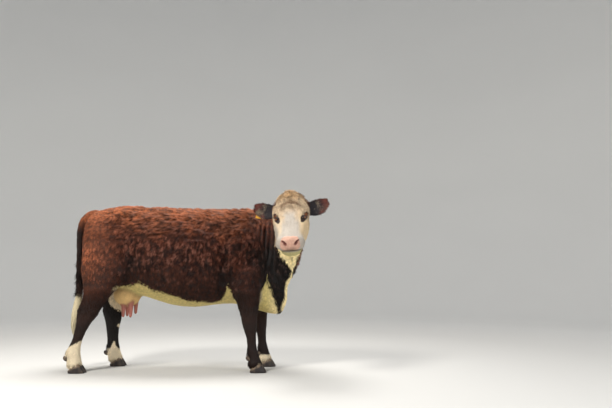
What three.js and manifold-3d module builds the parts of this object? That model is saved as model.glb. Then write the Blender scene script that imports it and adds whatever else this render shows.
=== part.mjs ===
// A life-size Hereford cow, standing with her head turned to her right.
// Millimetres. While she is built, +X runs forward from the middle of her trunk, +Y to her left and
// +Z up from the ground. The last lines move the origin to the centre of her bounding box's base.
// Every outline is the outside of the coat. The flesh is one solid, parted into nodes by thin cuts.
import * as THREE from "three";
import { mergeVertices } from "three/addons/utils/BufferGeometryUtils.js";
import Module from "manifold-3d";

const wasm = await Module();
wasm.setup();

// ---- Driving sizes ------------------------------------------------------------------------------

const BACK = 1342; // height of the back, coat included
const CUT = 0.4; // width of the cut between two nodes
const RIGHT = -1; // the cow's own right, which is -Y
const LEFT = 1;

const BODY_SIDES = 28; // corners round the trunk
const NECK_SIDES = 22;
const HEAD_SIDES = 24;
const LEG_SIDES = 12;
const CLAW_SIDES = 12;
const TAIL_SIDES = 8;

const EYE_RADIUS = 20;
const HEAD_YAW = -92.7; // degrees from straight ahead, about +Z
const HEAD_PITCH = 42; // degrees that the face slopes below the horizontal
const HEAD_ROLL = 4.1; // degrees that the left ear is carried above the right one
const POLL = new THREE.Vector3(905, -400, 1354); // the crown of the head, between the ears

const COLOURS = {
  coat: 0x5a2c1c,
  white: 0xe6dcc6,
  tail: 0x2a1712,
  ear: 0x40211a,
  udder: 0xd9a988,
  teat: 0xb4716a,
  horn: 0x3a302a,
  eye: 0x140c08,
  tag: 0xe8b020,
};

function finish(colour, roughness = 0.9) {
  return new THREE.MeshStandardMaterial({ color: COLOURS[colour], roughness, metalness: 0 });
}

// ---- Shapes -------------------------------------------------------------------------------------

// Fills a list of stations, ordered by key, with smooth in-between ones. Every number a station
// holds follows a Catmull-Rom curve through the stations either side.
function smoothed(stations, key, between) {
  const names = Object.keys(stations[0]);
  const filled = [];
  for (let i = 0; i < stations.length - 1; i++) {
    const last = stations.length - 1;
    const near = [i - 1, i, i + 1, i + 2].map((n) => stations[THREE.MathUtils.clamp(n, 0, last)]);
    for (let step = 0; step < between; step++) {
      filled.push(blended(near, names, key, step / between));
    }
  }
  filled.push({ ...stations.at(-1) });
  return filled;
}

// The station at share t of the way from near[1] to near[2].
function blended(near, names, key, t) {
  const at = near.map((station) => station[key]);
  const span = at[2] - at[1];
  const made = {};
  for (const name of names) {
    const v = near.map((station) => station[name]);
    const slope1 = at[2] === at[0] ? 0 : ((v[2] - v[0]) / (at[2] - at[0])) * span;
    const slope2 = at[3] === at[1] ? 0 : ((v[3] - v[1]) / (at[3] - at[1])) * span;
    made[name] =
      v[1] * (2 * t ** 3 - 3 * t ** 2 + 1) +
      slope1 * (t ** 3 - 2 * t ** 2 + t) +
      v[2] * (3 * t ** 2 - 2 * t ** 3) +
      slope2 * (t ** 3 - t ** 2);
  }
  return made;
}

// A closed section as [across, up] pairs, anticlockwise: a superellipse whose upper and lower halves
// meet where it is widest. A crown or keel of 2 is round, more is squarer and less is sharper.
function section({ half, top, bottom, widest, crown = 2, keel = 2 }, sides) {
  const middle = widest ?? (top + bottom) / 2;
  return Array.from({ length: sides }, (_, i) => {
    const angle = (i / sides) * 2 * Math.PI;
    const power = 2 / (Math.sin(angle) >= 0 ? crown : keel);
    const across = Math.sign(Math.cos(angle)) * Math.abs(Math.cos(angle)) ** power * half;
    const reach = Math.sin(angle) >= 0 ? top - middle : bottom - middle;
    return [across, middle + reach * Math.abs(Math.sin(angle)) ** power];
  });
}

// The closed surface through rings of points that all have the same number of corners.
function loft(rings) {
  const sides = rings[0].length;
  const positions = rings.flat().flatMap((p) => [p.x, p.y, p.z]);
  const faces = [];
  for (let r = 0; r < rings.length - 1; r++) {
    for (let s = 0; s < sides; s++) {
      const a = r * sides + s;
      const b = r * sides + ((s + 1) % sides);
      faces.push(a, b, a + sides, b, b + sides, a + sides);
    }
  }
  for (const end of [0, rings.length - 1]) {
    const centre = rings[end].reduce((sum, p) => sum.add(p), new THREE.Vector3()).divideScalar(sides);
    const hub = positions.push(...centre) / 3 - 1;
    for (let s = 0; s < sides; s++) {
      const pair = [end * sides + s, end * sides + ((s + 1) % sides)];
      faces.push(hub, ...(end === 0 ? pair.reverse() : pair));
    }
  }
  const geometry = new THREE.BufferGeometry();
  geometry.setAttribute("position", new THREE.Float32BufferAttribute(positions, 3));
  geometry.setIndex(faces);
  return solidFrom(geometry);
}

function ellipsoid(centre, radii, rows = 12) {
  const ball = new THREE.SphereGeometry(1, rows * 2, rows);
  ball.scale(...radii);
  return solidFrom(ball.translate(...centre));
}

// ---- Solids -------------------------------------------------------------------------------------

function solidFrom(geometry) {
  const bare = geometry.clone();
  bare.deleteAttribute("normal");
  bare.deleteAttribute("uv");
  const merged = mergeVertices(bare, 1e-3);
  const mesh = {
    numProp: 3,
    vertProperties: new Float32Array(merged.attributes.position.array),
    triVerts: new Uint32Array(merged.index.array),
  };
  const solid = new wasm.Manifold(new wasm.Mesh(mesh));
  if (solid.volume() > 0) return solid;
  mesh.triVerts.reverse();
  return new wasm.Manifold(new wasm.Mesh(mesh));
}

function meshOf(solid, name, material) {
  const largest = solid.decompose().sort((a, b) => b.volume() - a.volume())[0];
  const { vertProperties, triVerts, numProp } = largest.getMesh();
  const geometry = new THREE.BufferGeometry();
  const positions = [];
  for (let i = 0; i < vertProperties.length; i += numProp) positions.push(...vertProperties.slice(i, i + 3));
  geometry.setAttribute("position", new THREE.Float32BufferAttribute(positions, 3));
  geometry.setIndex([...triVerts]);
  geometry.computeVertexNormals();
  const mesh = new THREE.Mesh(geometry, material);
  mesh.name = name;
  return mesh;
}

function joined(solids) {
  return solids.reduce((all, solid) => all.add(solid));
}

function placed(solid, matrix) {
  return solid.transform(matrix.elements);
}

// A box from one corner to the other, turned by the matrix, as a solid that can be grown on all sides.
function region(low, high, matrix = new THREE.Matrix4()) {
  return (grown) => {
    const size = high.map((h, i) => h - low[i] + 2 * grown);
    const middle = high.map((h, i) => (h + low[i]) / 2);
    return placed(solidFrom(new THREE.BoxGeometry(...size).translate(...middle)), matrix);
  };
}

// What of the solid lies inside the region, and what lies outside it, with a cut between them.
function parted(solid, area) {
  return [solid.intersect(area(0)), solid.subtract(area(CUT))];
}

// ---- Trunk, neck and head -----------------------------------------------------------------------

// Upright sections along the trunk, from the buttocks to the breast.
const TRUNK = [
  { x: -838, top: 1160, bottom: 900, widest: 1040, half: 84, crown: 2.0, keel: 2.0 },
  { x: -818, top: 1230, bottom: 800, widest: 1040, half: 140, crown: 2.0, keel: 2.0 },
  { x: -780, top: 1284, bottom: 736, widest: 1045, half: 184, crown: 2.0, keel: 2.0 },
  { x: -720, top: 1326, bottom: 690, widest: 1050, half: 222, crown: 2.1, keel: 2.0 },
  { x: -600, top: BACK + 8, bottom: 636, widest: 1060, half: 260, crown: 2.3, keel: 2.0 },
  { x: -440, top: BACK + 12, bottom: 604, widest: 1060, half: 290, crown: 2.6, keel: 2.0 },
  { x: -280, top: BACK + 8, bottom: 564, widest: 960, half: 318, crown: 2.4, keel: 2.1 },
  { x: -80, top: BACK, bottom: 504, widest: 890, half: 350, crown: 2.3, keel: 2.2 },
  { x: 110, top: BACK - 6, bottom: 488, widest: 870, half: 356, crown: 2.2, keel: 2.2 },
  { x: 280, top: BACK - 8, bottom: 508, widest: 880, half: 326, crown: 2.1, keel: 2.1 },
  { x: 430, top: BACK - 5, bottom: 514, widest: 900, half: 290, crown: 2.0, keel: 2.0 },
  { x: 560, top: BACK - 2, bottom: 482, widest: 880, half: 268, crown: 1.9, keel: 2.0 },
  { x: 680, top: 1290, bottom: 444, widest: 850, half: 238, crown: 2.0, keel: 2.1 },
  { x: 780, top: 1160, bottom: 430, widest: 800, half: 186, crown: 2.0, keel: 2.1 },
  { x: 850, top: 1010, bottom: 462, widest: 730, half: 118, crown: 2.0, keel: 2.0 },
  { x: 884, top: 850, bottom: 560, widest: 700, half: 50, crown: 2.0, keel: 2.0 },
];

function trunkSolid() {
  const rings = smoothed(TRUNK, "x", 2).map((station) =>
    section(station, BODY_SIDES).map(([across, up]) => new THREE.Vector3(station.x, -across, up)),
  );
  return loft(rings);
}

// Upright sections along the neck as it bends to the right, down to the edge of the dewlap that hangs
// from the throat to the breast. Heading is in degrees from +X.
const NECK = [
  { along: 0, x: 400, y: 0, heading: 0, top: 1326, bottom: 600, widest: 1000, half: 190, keel: 1.7 },
  { along: 1, x: 560, y: 0, heading: -4, top: 1338, bottom: 540, widest: 990, half: 190, keel: 1.6 },
  { along: 2, x: 690, y: -8, heading: -16, top: 1340, bottom: 480, widest: 980, half: 172, keel: 1.6 },
  { along: 3, x: 796, y: -46, heading: -36, top: 1342, bottom: 540, widest: 1000, half: 152, keel: 1.6 },
  { along: 4, x: 862, y: -116, heading: -56, top: 1348, bottom: 680, widest: 1050, half: 136, keel: 2.0 },
  { along: 5, x: 892, y: -200, heading: -74, top: 1360, bottom: 808, widest: 1100, half: 124, keel: 2.1 },
  { along: 6, x: 901, y: -284, heading: -85, top: 1372, bottom: 895, widest: 1140, half: 116, keel: 2.1 },
  { along: 7, x: 902, y: -368, heading: -90, top: 1376, bottom: 980, widest: 1180, half: 106, keel: 2.1 },
];

function neckSolid() {
  const rings = smoothed(NECK, "along", 2).map((station) => {
    const turn = THREE.MathUtils.degToRad(station.heading);
    return section({ ...station, crown: 1.9 }, NECK_SIDES).map(
      ([across, up]) =>
        new THREE.Vector3(station.x + across * Math.sin(turn), station.y - across * Math.cos(turn), up),
    );
  });
  return loft(rings);
}

// The head has its own axes: x from the poll down the face to the muzzle, y to the left, z out of the
// forehead.
function headFrame(pitch) {
  return new THREE.Matrix4()
    .makeTranslation(POLL)
    .multiply(new THREE.Matrix4().makeRotationZ(THREE.MathUtils.degToRad(HEAD_YAW)))
    .multiply(new THREE.Matrix4().makeRotationX(THREE.MathUtils.degToRad(HEAD_ROLL)))
    .multiply(new THREE.Matrix4().makeRotationY(THREE.MathUtils.degToRad(pitch)));
}
const HEAD_FRAME = headFrame(HEAD_PITCH);

// Brain case, face and upper jaw, in the head's axes.
const SKULL = [
  { x: -72, top: -4, bottom: -84, half: 50, widest: -44, crown: 2.0, keel: 2.0 },
  { x: -46, top: 46, bottom: -126, half: 96, widest: -46, crown: 1.8, keel: 2.0 },
  { x: 0, top: 66, bottom: -150, half: 124, widest: -48, crown: 1.8, keel: 2.0 },
  { x: 50, top: 56, bottom: -160, half: 138, widest: -52, crown: 1.9, keel: 2.2 },
  { x: 105, top: 36, bottom: -166, half: 142, widest: -56, crown: 2.0, keel: 2.4 },
  { x: 165, top: 20, bottom: -165, half: 139, widest: -58, crown: 2.1, keel: 2.5 },
  { x: 220, top: 10, bottom: -160, half: 131, widest: -60, crown: 2.2, keel: 2.6 },
  { x: 275, top: 2, bottom: -152, half: 113, widest: -62, crown: 2.2, keel: 2.7 },
  { x: 335, top: -6, bottom: -140, half: 98, widest: -66, crown: 2.3, keel: 2.8 },
  { x: 395, top: -10, bottom: -128, half: 91, widest: -70, crown: 2.4, keel: 2.8 },
  { x: 440, top: -11, bottom: -120, half: 96, widest: -72, crown: 2.7, keel: 2.8 },
  { x: 475, top: -16, bottom: -116, half: 100, widest: -74, crown: 3.0, keel: 2.6 },
  { x: 503, top: -34, bottom: -106, half: 94, widest: -76, crown: 2.8, keel: 2.4 },
  { x: 520, top: -56, bottom: -99, half: 73, widest: -80, crown: 2.4, keel: 2.2 },
  { x: 530, top: -70, bottom: -92, half: 42, widest: -82, crown: 2.2, keel: 2.0 },
];

// Cheeks, lower jaw and chin, in the head's axes.
const JAW = [
  { x: 20, top: -84, bottom: -186, half: 70, widest: -130, crown: 2.0, keel: 2.0 },
  { x: 44, top: -76, bottom: -216, half: 100, widest: -138, crown: 2.0, keel: 2.0 },
  { x: 80, top: -66, bottom: -238, half: 120, widest: -146, crown: 2.1, keel: 1.9 },
  { x: 135, top: -60, bottom: -248, half: 131, widest: -148, crown: 2.3, keel: 1.9 },
  { x: 195, top: -62, bottom: -244, half: 132, widest: -146, crown: 2.4, keel: 1.9 },
  { x: 255, top: -66, bottom: -232, half: 124, widest: -142, crown: 2.4, keel: 2.0 },
  { x: 315, top: -70, bottom: -214, half: 112, widest: -136, crown: 2.4, keel: 2.1 },
  { x: 375, top: -74, bottom: -194, half: 98, widest: -128, crown: 2.4, keel: 2.2 },
  { x: 425, top: -78, bottom: -186, half: 87, widest: -126, crown: 2.4, keel: 2.3 },
  { x: 462, top: -80, bottom: -184, half: 80, widest: -128, crown: 2.4, keel: 2.3 },
  { x: 492, top: -82, bottom: -178, half: 74, widest: -128, crown: 2.3, keel: 2.2 },
  { x: 514, top: -90, bottom: -164, half: 58, widest: -126, crown: 2.0, keel: 2.0 },
  { x: 524, top: -104, bottom: -148, half: 32, widest: -126, crown: 2.0, keel: 2.0 },
];

const EYE = { x: 228, y: 98, z: -34 }; // centre of an eyeball, in the head's axes
const LID_RADII = [33, 27, 26];

function faceSolid(stations, between) {
  const rings = smoothed(stations, "x", between).map((station) =>
    section(station, HEAD_SIDES).map(([across, up]) => new THREE.Vector3(station.x, -across, up)),
  );
  return loft(rings);
}

function headSolid() {
  const lids = [RIGHT, LEFT].map((side) => ellipsoid([EYE.x, side * EYE.y, EYE.z], LID_RADII, 8));
  const hollows = [RIGHT, LEFT].flatMap((side) => [
    eyeball(side, CUT),
    eyeOpening(side),
    ellipsoid([501, side * 42, -46], [21, 13, 12], 5), // nostril
  ]);
  const mouth = ellipsoid([484, 0, -100], [78, 130, 3.5], 6);
  const whole = joined([faceSolid(SKULL, 2), faceSolid(JAW, 1), ...lids]);
  return placed([...hollows, mouth].reduce((head, hollow) => head.subtract(hollow), whole), HEAD_FRAME);
}

// The almond between the lids, long from the inner corner of the eye to the outer one.
function eyeOpening(side) {
  const out = new THREE.Vector3(0.1, side * 0.76, 0.64).normalize();
  const corner = new THREE.Vector3(1, 0, 0.3);
  const along = corner.addScaledVector(out, -corner.dot(out)).normalize();
  const across = new THREE.Vector3().crossVectors(along, out);
  const centre = new THREE.Vector3(EYE.x, side * EYE.y, EYE.z).addScaledVector(out, EYE_RADIUS + 4);
  const frame = new THREE.Matrix4().makeBasis(along, out, across).setPosition(centre);
  return placed(ellipsoid([0, 0, 0], [21, 15, 12], 6), frame);
}

function eyeball(side, grown) {
  const radius = EYE_RADIUS + grown;
  return ellipsoid([EYE.x, side * EYE.y, EYE.z], [radius, radius, radius], 6);
}

// ---- Legs ---------------------------------------------------------------------------------------

// Level sections down a leg. x and y are its middle, fore its half length and side its half width.
const FORE_LEG = [
  { z: 1100, x: 600, y: 130, fore: 80, side: 56 },
  { z: 1020, x: 608, y: 146, fore: 112, side: 70 },
  { z: 910, x: 620, y: 166, fore: 154, side: 90 },
  { z: 770, x: 592, y: 184, fore: 160, side: 98 },
  { z: 680, x: 564, y: 186, fore: 138, side: 88 },
  { z: 590, x: 556, y: 182, fore: 110, side: 72 },
  { z: 500, x: 564, y: 176, fore: 88, side: 60 },
  { z: 430, x: 570, y: 172, fore: 70, side: 53 },
  { z: 375, x: 574, y: 170, fore: 64, side: 53 },
  { z: 325, x: 580, y: 168, fore: 55, side: 47 },
  { z: 265, x: 590, y: 166, fore: 43, side: 38 },
  { z: 200, x: 595, y: 165, fore: 41, side: 37 },
  { z: 145, x: 602, y: 165, fore: 50, side: 46 },
  { z: 105, x: 616, y: 165, fore: 48, side: 47 },
  { z: 68, x: 622, y: 165, fore: 51, side: 50 },
  { z: 40, x: 636, y: 165, fore: 52, side: 50 },
];

const THIGH = [
  { z: 1180, x: -560, y: 130, fore: 110, side: 70 },
  { z: 1120, x: -566, y: 138, fore: 158, side: 86 },
  { z: 1040, x: -574, y: 152, fore: 190, side: 98 },
  { z: 930, x: -590, y: 170, fore: 210, side: 104 },
  { z: 800, x: -596, y: 184, fore: 206, side: 100 },
  { z: 700, x: -604, y: 194, fore: 176, side: 88 },
];

const HIND_LEG_RIGHT = [
  ...THIGH,
  { z: 625, x: -636, y: 198, fore: 126, side: 72 },
  { z: 555, x: -668, y: 200, fore: 106, side: 60 },
  { z: 497, x: -700, y: 200, fore: 98, side: 54 },
  { z: 440, x: -718, y: 198, fore: 86, side: 50 },
  { z: 385, x: -742, y: 196, fore: 63, side: 46 },
  { z: 320, x: -766, y: 194, fore: 50, side: 40 },
  { z: 250, x: -788, y: 192, fore: 44, side: 36 },
  { z: 195, x: -807, y: 190, fore: 51, side: 40 },
  { z: 150, x: -818, y: 190, fore: 64, side: 48 },
  { z: 108, x: -806, y: 190, fore: 58, side: 49 },
  { z: 68, x: -798, y: 190, fore: 52, side: 50 },
  { z: 40, x: -784, y: 190, fore: 52, side: 50 },
];

const HIND_LEG_LEFT = [
  ...THIGH,
  { z: 625, x: -626, y: 198, fore: 130, side: 72 },
  { z: 555, x: -640, y: 200, fore: 106, side: 60 },
  { z: 497, x: -654, y: 200, fore: 93, side: 54 },
  { z: 440, x: -652, y: 198, fore: 88, side: 50 },
  { z: 385, x: -643, y: 196, fore: 76, side: 46 },
  { z: 320, x: -643, y: 194, fore: 61, side: 41 },
  { z: 250, x: -639, y: 192, fore: 53, side: 37 },
  { z: 195, x: -633, y: 190, fore: 52, side: 40 },
  { z: 150, x: -630, y: 190, fore: 62, side: 48 },
  { z: 108, x: -620, y: 190, fore: 62, side: 49 },
  { z: 68, x: -604, y: 190, fore: 54, side: 50 },
  { z: 40, x: -588, y: 190, fore: 54, side: 50 },
];

// How far forward of its pattern each leg stands. The shift fades in from the joint at the top.
const LEGS = [
  { name: "fore_leg_right", side: RIGHT, stations: FORE_LEG, step: 0, top: 640 },
  { name: "fore_leg_left", side: LEFT, stations: FORE_LEG, step: 56, top: 640 },
  { name: "hind_leg_right", side: RIGHT, stations: HIND_LEG_RIGHT, step: 0, top: 660 },
  { name: "hind_leg_left", side: LEFT, stations: HIND_LEG_LEFT, step: 0, top: 660 },
];
const SHOULDER = 950;
const ELBOW = 430;

function legStation(leg, station) {
  const share = THREE.MathUtils.clamp((SHOULDER - station.z) / (SHOULDER - ELBOW), 0, 1);
  return { ...station, x: station.x + leg.step * share, y: station.y * leg.side };
}

function legSolid(leg, grown = 0) {
  const rings = leg.stations.map((station) => {
    const { x, y, z, fore, side } = legStation(leg, station);
    const outline = { half: fore + grown, top: side + grown, bottom: -side - grown, crown: 2.1, keel: 2.1 };
    return section(outline, LEG_SIDES).map(([along, across]) => new THREE.Vector3(x + along, y + across, z));
  });
  return loft(rings);
}

// The part of a leg that its own node covers.
function legArea(leg) {
  return (grown) => legSolid(leg, grown).trimByPlane([0, 0, -1], -leg.top - grown);
}

// ---- Feet ---------------------------------------------------------------------------------------

const CORONET = { toe: 72, heel: 42 }; // height of the hair line at the front and back of the foot
const CLAW = { length: 126, apart: 29, heel: 54 };
const CORONET_SLOPE = Math.atan2(CORONET.toe - CORONET.heel, CLAW.length - CLAW.heel);

// Level sections of one claw: how far its heel and toe reach back and forward of the foot's middle.
const CLAW_STATIONS = [
  { z: 0, heel: 52, toe: 80, half: 26 },
  { z: 26, heel: 57, toe: 66, half: 28 },
  { z: 60, heel: 56, toe: 42, half: 27 },
  { z: 100, heel: 50, toe: 20, half: 25 },
];

function footOf(leg) {
  const low = legStation(leg, leg.stations.at(-1));
  return new THREE.Vector3(low.x, low.y, 0);
}

// Everything below the hair line of a foot, for parting the claws from the pastern.
function hoofRegion(leg) {
  const foot = footOf(leg);
  const middle = (CORONET.toe + CORONET.heel) / 2;
  const matrix = new THREE.Matrix4()
    .makeTranslation(foot.x, foot.y, middle)
    .multiply(new THREE.Matrix4().makeRotationY(-CORONET_SLOPE));
  return region([-130, -90, -160], [130, 90, 0], matrix);
}

function clawSolid(leg, toeSide) {
  const foot = footOf(leg);
  const rings = CLAW_STATIONS.map(({ z, heel, toe, half }) =>
    Array.from({ length: CLAW_SIDES }, (_, i) => {
      const angle = (i / CLAW_SIDES) * 2 * Math.PI;
      const forward = Math.cos(angle) > 0 ? Math.cos(angle) ** 1.15 * toe : Math.cos(angle) * heel;
      const turnedIn = Math.max(0, Math.cos(angle)) ** 2 * 7;
      const across = Math.sign(Math.sin(angle)) * Math.abs(Math.sin(angle)) ** 0.8 * half;
      return new THREE.Vector3(foot.x + forward, foot.y + toeSide * (CLAW.apart - turnedIn) + across, z);
    }),
  );
  return loft(rings).intersect(hoofRegion(leg)(-CUT / 2));
}

// A dewclaw stands out of the back of the fetlock, just above its lower station.
function dewclawSolid(leg, toeSide) {
  const fetlock = legStation(leg, leg.stations.at(-3));
  return ellipsoid([fetlock.x - fetlock.fore - 3, fetlock.y + toeSide * 24, fetlock.z + 4], [20, 13, 23], 4);
}

// ---- Tail, ears and udder -----------------------------------------------------------------------

const TAIL = [
  { along: 0, x: -700, z: 1276, radius: 44 },
  { along: 1, x: -790, z: 1276, radius: 42 },
  { along: 2, x: -856, z: 1232, radius: 37 },
  { along: 3, x: -886, z: 1150, radius: 33 },
  { along: 4, x: -888, z: 1020, radius: 29 },
  { along: 5, x: -878, z: 840, radius: 27 },
  { along: 6, x: -870, z: 620, radius: 25 },
];

const SWITCH = [
  { along: 0, x: -870, z: 620 - CUT, radius: 25 },
  { along: 1, x: -876, z: 540, radius: 35 },
  { along: 2, x: -886, z: 440, radius: 40 },
  { along: 3, x: -894, z: 340, radius: 32 },
  { along: 4, x: -896, z: 270, radius: 10 },
];

// A round limb through stations in the upright plane of the spine.
function hangingSolid(stations, between) {
  const filled = smoothed(stations, "along", between);
  const rings = filled.map((station, i) => {
    const before = filled[Math.max(0, i - 1)];
    const after = filled[Math.min(filled.length - 1, i + 1)];
    const level = i === 0 || i === filled.length - 1;
    const slope = level ? [0, -1] : [after.x - before.x, after.z - before.z];
    const length = Math.hypot(...slope);
    const { x, z, radius } = station;
    return section({ half: radius, top: radius, bottom: -radius }, TAIL_SIDES).map(
      ([across, out]) =>
        new THREE.Vector3(x - (out * slope[1]) / length, -across, z + (out * slope[0]) / length),
    );
  });
  return loft(rings);
}

// An ear has its own axes: x from root to tip, y up across it and z the way its hollow faces.
const EAR = [
  { x: -20, low: -36, high: 36, hollow: 4, thick: 40 },
  { x: 14, low: -56, high: 56, hollow: 12, thick: 30 },
  { x: 52, low: -80, high: 68, hollow: 24, thick: 20 },
  { x: 94, low: -88, high: 71, hollow: 29, thick: 16 },
  { x: 132, low: -80, high: 68, hollow: 26, thick: 15 },
  { x: 164, low: -66, high: 59, hollow: 18, thick: 14 },
  { x: 186, low: -48, high: 45, hollow: 9, thick: 12 },
  { x: 199, low: -26, high: 27, hollow: 3, thick: 9 },
];
const EAR_ROOT = { x: 66, y: 104, z: -78 }; // in the head's axes
const EAR_CARRIAGE = { up: 17, back: 8 }; // degrees that the tip is carried above level and behind
const EAR_STEPS = 6; // points across each face of an ear

function earFrame(side) {
  const pitch = THREE.MathUtils.degToRad(HEAD_PITCH);
  const up = new THREE.Vector3(-Math.sin(pitch), 0, Math.cos(pitch));
  const forward = new THREE.Vector3(Math.cos(pitch), 0, Math.sin(pitch));
  const along = new THREE.Vector3(0, side, 0)
    .addScaledVector(up, Math.tan(THREE.MathUtils.degToRad(EAR_CARRIAGE.up)))
    .addScaledVector(forward, -Math.tan(THREE.MathUtils.degToRad(EAR_CARRIAGE.back)))
    .normalize();
  const across = up.addScaledVector(along, -up.dot(along)).normalize();
  const out = new THREE.Vector3().crossVectors(along, across).multiplyScalar(side);
  return new THREE.Matrix4()
    .makeBasis(along, across, out)
    .setPosition(EAR_ROOT.x, side * EAR_ROOT.y, EAR_ROOT.z)
    .premultiply(HEAD_FRAME);
}

function earSolid(side) {
  const rings = EAR.map(({ x, low, high, hollow, thick }) => {
    const face = (lift) =>
      Array.from({ length: EAR_STEPS }, (_, i) => {
        const t = (i + 0.5) / EAR_STEPS;
        const bow = Math.sin(t * Math.PI);
        const y = THREE.MathUtils.lerp(low, high, t);
        return new THREE.Vector3(x, y, -hollow * bow + lift * (0.35 + 0.65 * bow));
      });
    return [...face(thick / 2), ...face(-thick / 2).reverse()];
  });
  return placed(loft(rings), earFrame(side));
}

// A plain tag behind the right ear, held by a stem through it and a button in front, in the ear's axes.
const TAG = { x: 158, y: -30, width: 40, height: 46, thick: 3, stem: 4, button: 9, back: -32, front: -12 };

function tagSolid(grown) {
  const half = TAG.width / 2 + grown;
  const plate = new THREE.Shape();
  plate.moveTo(-half, -TAG.height - grown);
  plate.lineTo(half, -TAG.height - grown);
  plate.lineTo(half, -TAG.height * 0.3);
  plate.lineTo(12 + grown, 12 + grown);
  plate.lineTo(-12 - grown, 12 + grown);
  plate.lineTo(-half, -TAG.height * 0.3);
  plate.closePath();
  const depth = TAG.thick + 2 * grown;
  const panel = new THREE.ExtrudeGeometry(plate, { depth, bevelEnabled: false });
  panel.translate(TAG.x, TAG.y, TAG.back - grown);
  const rod = (radius, from, to) => {
    const cylinder = new THREE.CylinderGeometry(radius + grown, radius + grown, to - from + 2 * grown, 12);
    return solidFrom(cylinder.rotateX(Math.PI / 2).translate(TAG.x, TAG.y, (from + to) / 2));
  };
  const stem = rod(TAG.stem, TAG.back, TAG.front);
  const button = rod(TAG.button, TAG.front, TAG.front + TAG.thick);
  return placed(joined([solidFrom(panel), stem, button]), earFrame(RIGHT));
}

const UDDER = { x: -466, z: 606, radii: [116, 122, 102] };
const TEATS = [
  { name: "teat_hind_right", x: -478, y: -52, tip: 418 },
  { name: "teat_hind_left", x: -478, y: 52, tip: 420 },
  { name: "teat_fore_right", x: -416, y: -56, tip: 416 },
  { name: "teat_fore_left", x: -410, y: 58, tip: 440 },
];
const TEAT = { radius: 16, root: 560 };

function teatSolid({ x, y, tip }) {
  const profile = [
    [0, tip],
    [TEAT.radius * 0.5, tip + 2],
    [TEAT.radius * 0.85, tip + 14],
    [TEAT.radius, tip + 45],
    [TEAT.radius * 1.25, tip + 80],
    [TEAT.radius * 1.6, TEAT.root],
    [0, TEAT.root],
  ].map(([r, z]) => new THREE.Vector2(r, z));
  return solidFrom(new THREE.LatheGeometry(profile, 8).rotateX(Math.PI / 2)).translate([x, y, 0]);
}

// ---- The cow ------------------------------------------------------------------------------------

const cow = new THREE.Group();

function add(name, solid, colour, roughness) {
  cow.add(meshOf(solid, name, finish(colour, roughness)));
}

// The head's node ends behind the poll and the angle of the jaw.
const HEAD_AREA = region([-36, -260, -380], [700, 260, 160], headFrame(HEAD_PITCH - 20));
// The neck's node ends on a slope from the withers to the point of the shoulder.
const NECK_AREA = region(
  [0, -700, -900],
  [700, 500, 300],
  new THREE.Matrix4()
    .makeTranslation(540, 0, BACK)
    .multiply(new THREE.Matrix4().makeRotationY(THREE.MathUtils.degToRad(-22))),
);

const wholeFlesh = joined([
  trunkSolid(),
  neckSolid(),
  headSolid(),
  ...LEGS.map((leg) => legSolid(leg)),
]);
// The neck closes over the back of the eye sockets, so they are opened again.
const openFlesh = [RIGHT, LEFT].reduce(
  (flesh, side) => flesh.subtract(placed(eyeball(side, CUT), HEAD_FRAME)),
  wholeFlesh,
);
const [head, headless] = parted(openFlesh, HEAD_AREA);
const [neck, body] = parted(headless, NECK_AREA);
add("head", head, "white");
add("neck", neck, "coat");

let trunk = body;
for (const leg of LEGS) {
  let limb;
  [limb, trunk] = parted(trunk, legArea(leg));
  limb = limb.subtract(hoofRegion(leg)(CUT / 2));
  const foot = leg.name.replace("_leg", "");
  for (const [toe, toeSide] of [["outer", leg.side], ["inner", -leg.side]]) {
    const dewclaw = dewclawSolid(leg, toeSide).subtract(limb.translate([-CUT, 0, 0]));
    add(`${foot}_${toe}_claw`, clawSolid(leg, toeSide), "horn", 0.55);
    add(`${foot}_${toe}_dewclaw`, dewclaw, "horn", 0.55);
  }
  add(leg.name, limb, "coat");
}
add("trunk", trunk, "coat");

for (const [name, side] of [["right", RIGHT], ["left", LEFT]]) {
  const gap = new THREE.Vector3(0, side, 0).transformDirection(HEAD_FRAME).multiplyScalar(2 * CUT);
  const ear = earSolid(side).subtract(wholeFlesh.translate(gap.toArray()));
  add(`ear_${name}`, side === RIGHT ? ear.subtract(tagSolid(CUT)) : ear, "ear");
  add(`eye_${name}`, placed(eyeball(side, 0), HEAD_FRAME), "eye", 0.1);
}
add("ear_tag", tagSolid(0), "tag", 0.4);

const tail = hangingSolid(TAIL, 2).subtract(wholeFlesh.translate([-2 * CUT, 0, 0]));
add("tail", tail, "tail");
add("tail_switch", hangingSolid(SWITCH, 2), "white");

const bag = ellipsoid([UDDER.x, 0, UDDER.z], UDDER.radii, 8);
const clearBag = bag.translate([0, 0, -CUT]);
for (const teat of TEATS) {
  const free = teatSolid(teat).subtract(clearBag);
  add(teat.name, free.trimByPlane([0, 0, -1], -UDDER.z), "teat", 0.6);
}
add("udder", bag.subtract(wholeFlesh.translate([0, 0, -2 * CUT])), "udder", 0.7);

const bounds = new THREE.Box3().setFromObject(cow);
const centre = bounds.getCenter(new THREE.Vector3());
cow.position.set(-centre.x, -centre.y, -bounds.min.z);

export default cow;
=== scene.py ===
"""A life-size Hereford cow, standing with her head turned to her right.

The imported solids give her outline, out to the tips of the coat. One skin is laid inside them, and mesh
tufts grow from it. Her own frame runs +X forward from the middle of her trunk, +Y to her left and +Z up
from the ground, in metres. Points are moved from it to the row frame when their mesh is made.
"""

import bpy
import numpy as np
from mathutils import Matrix, Vector
from mathutils.bvhtree import BVHTree


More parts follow.
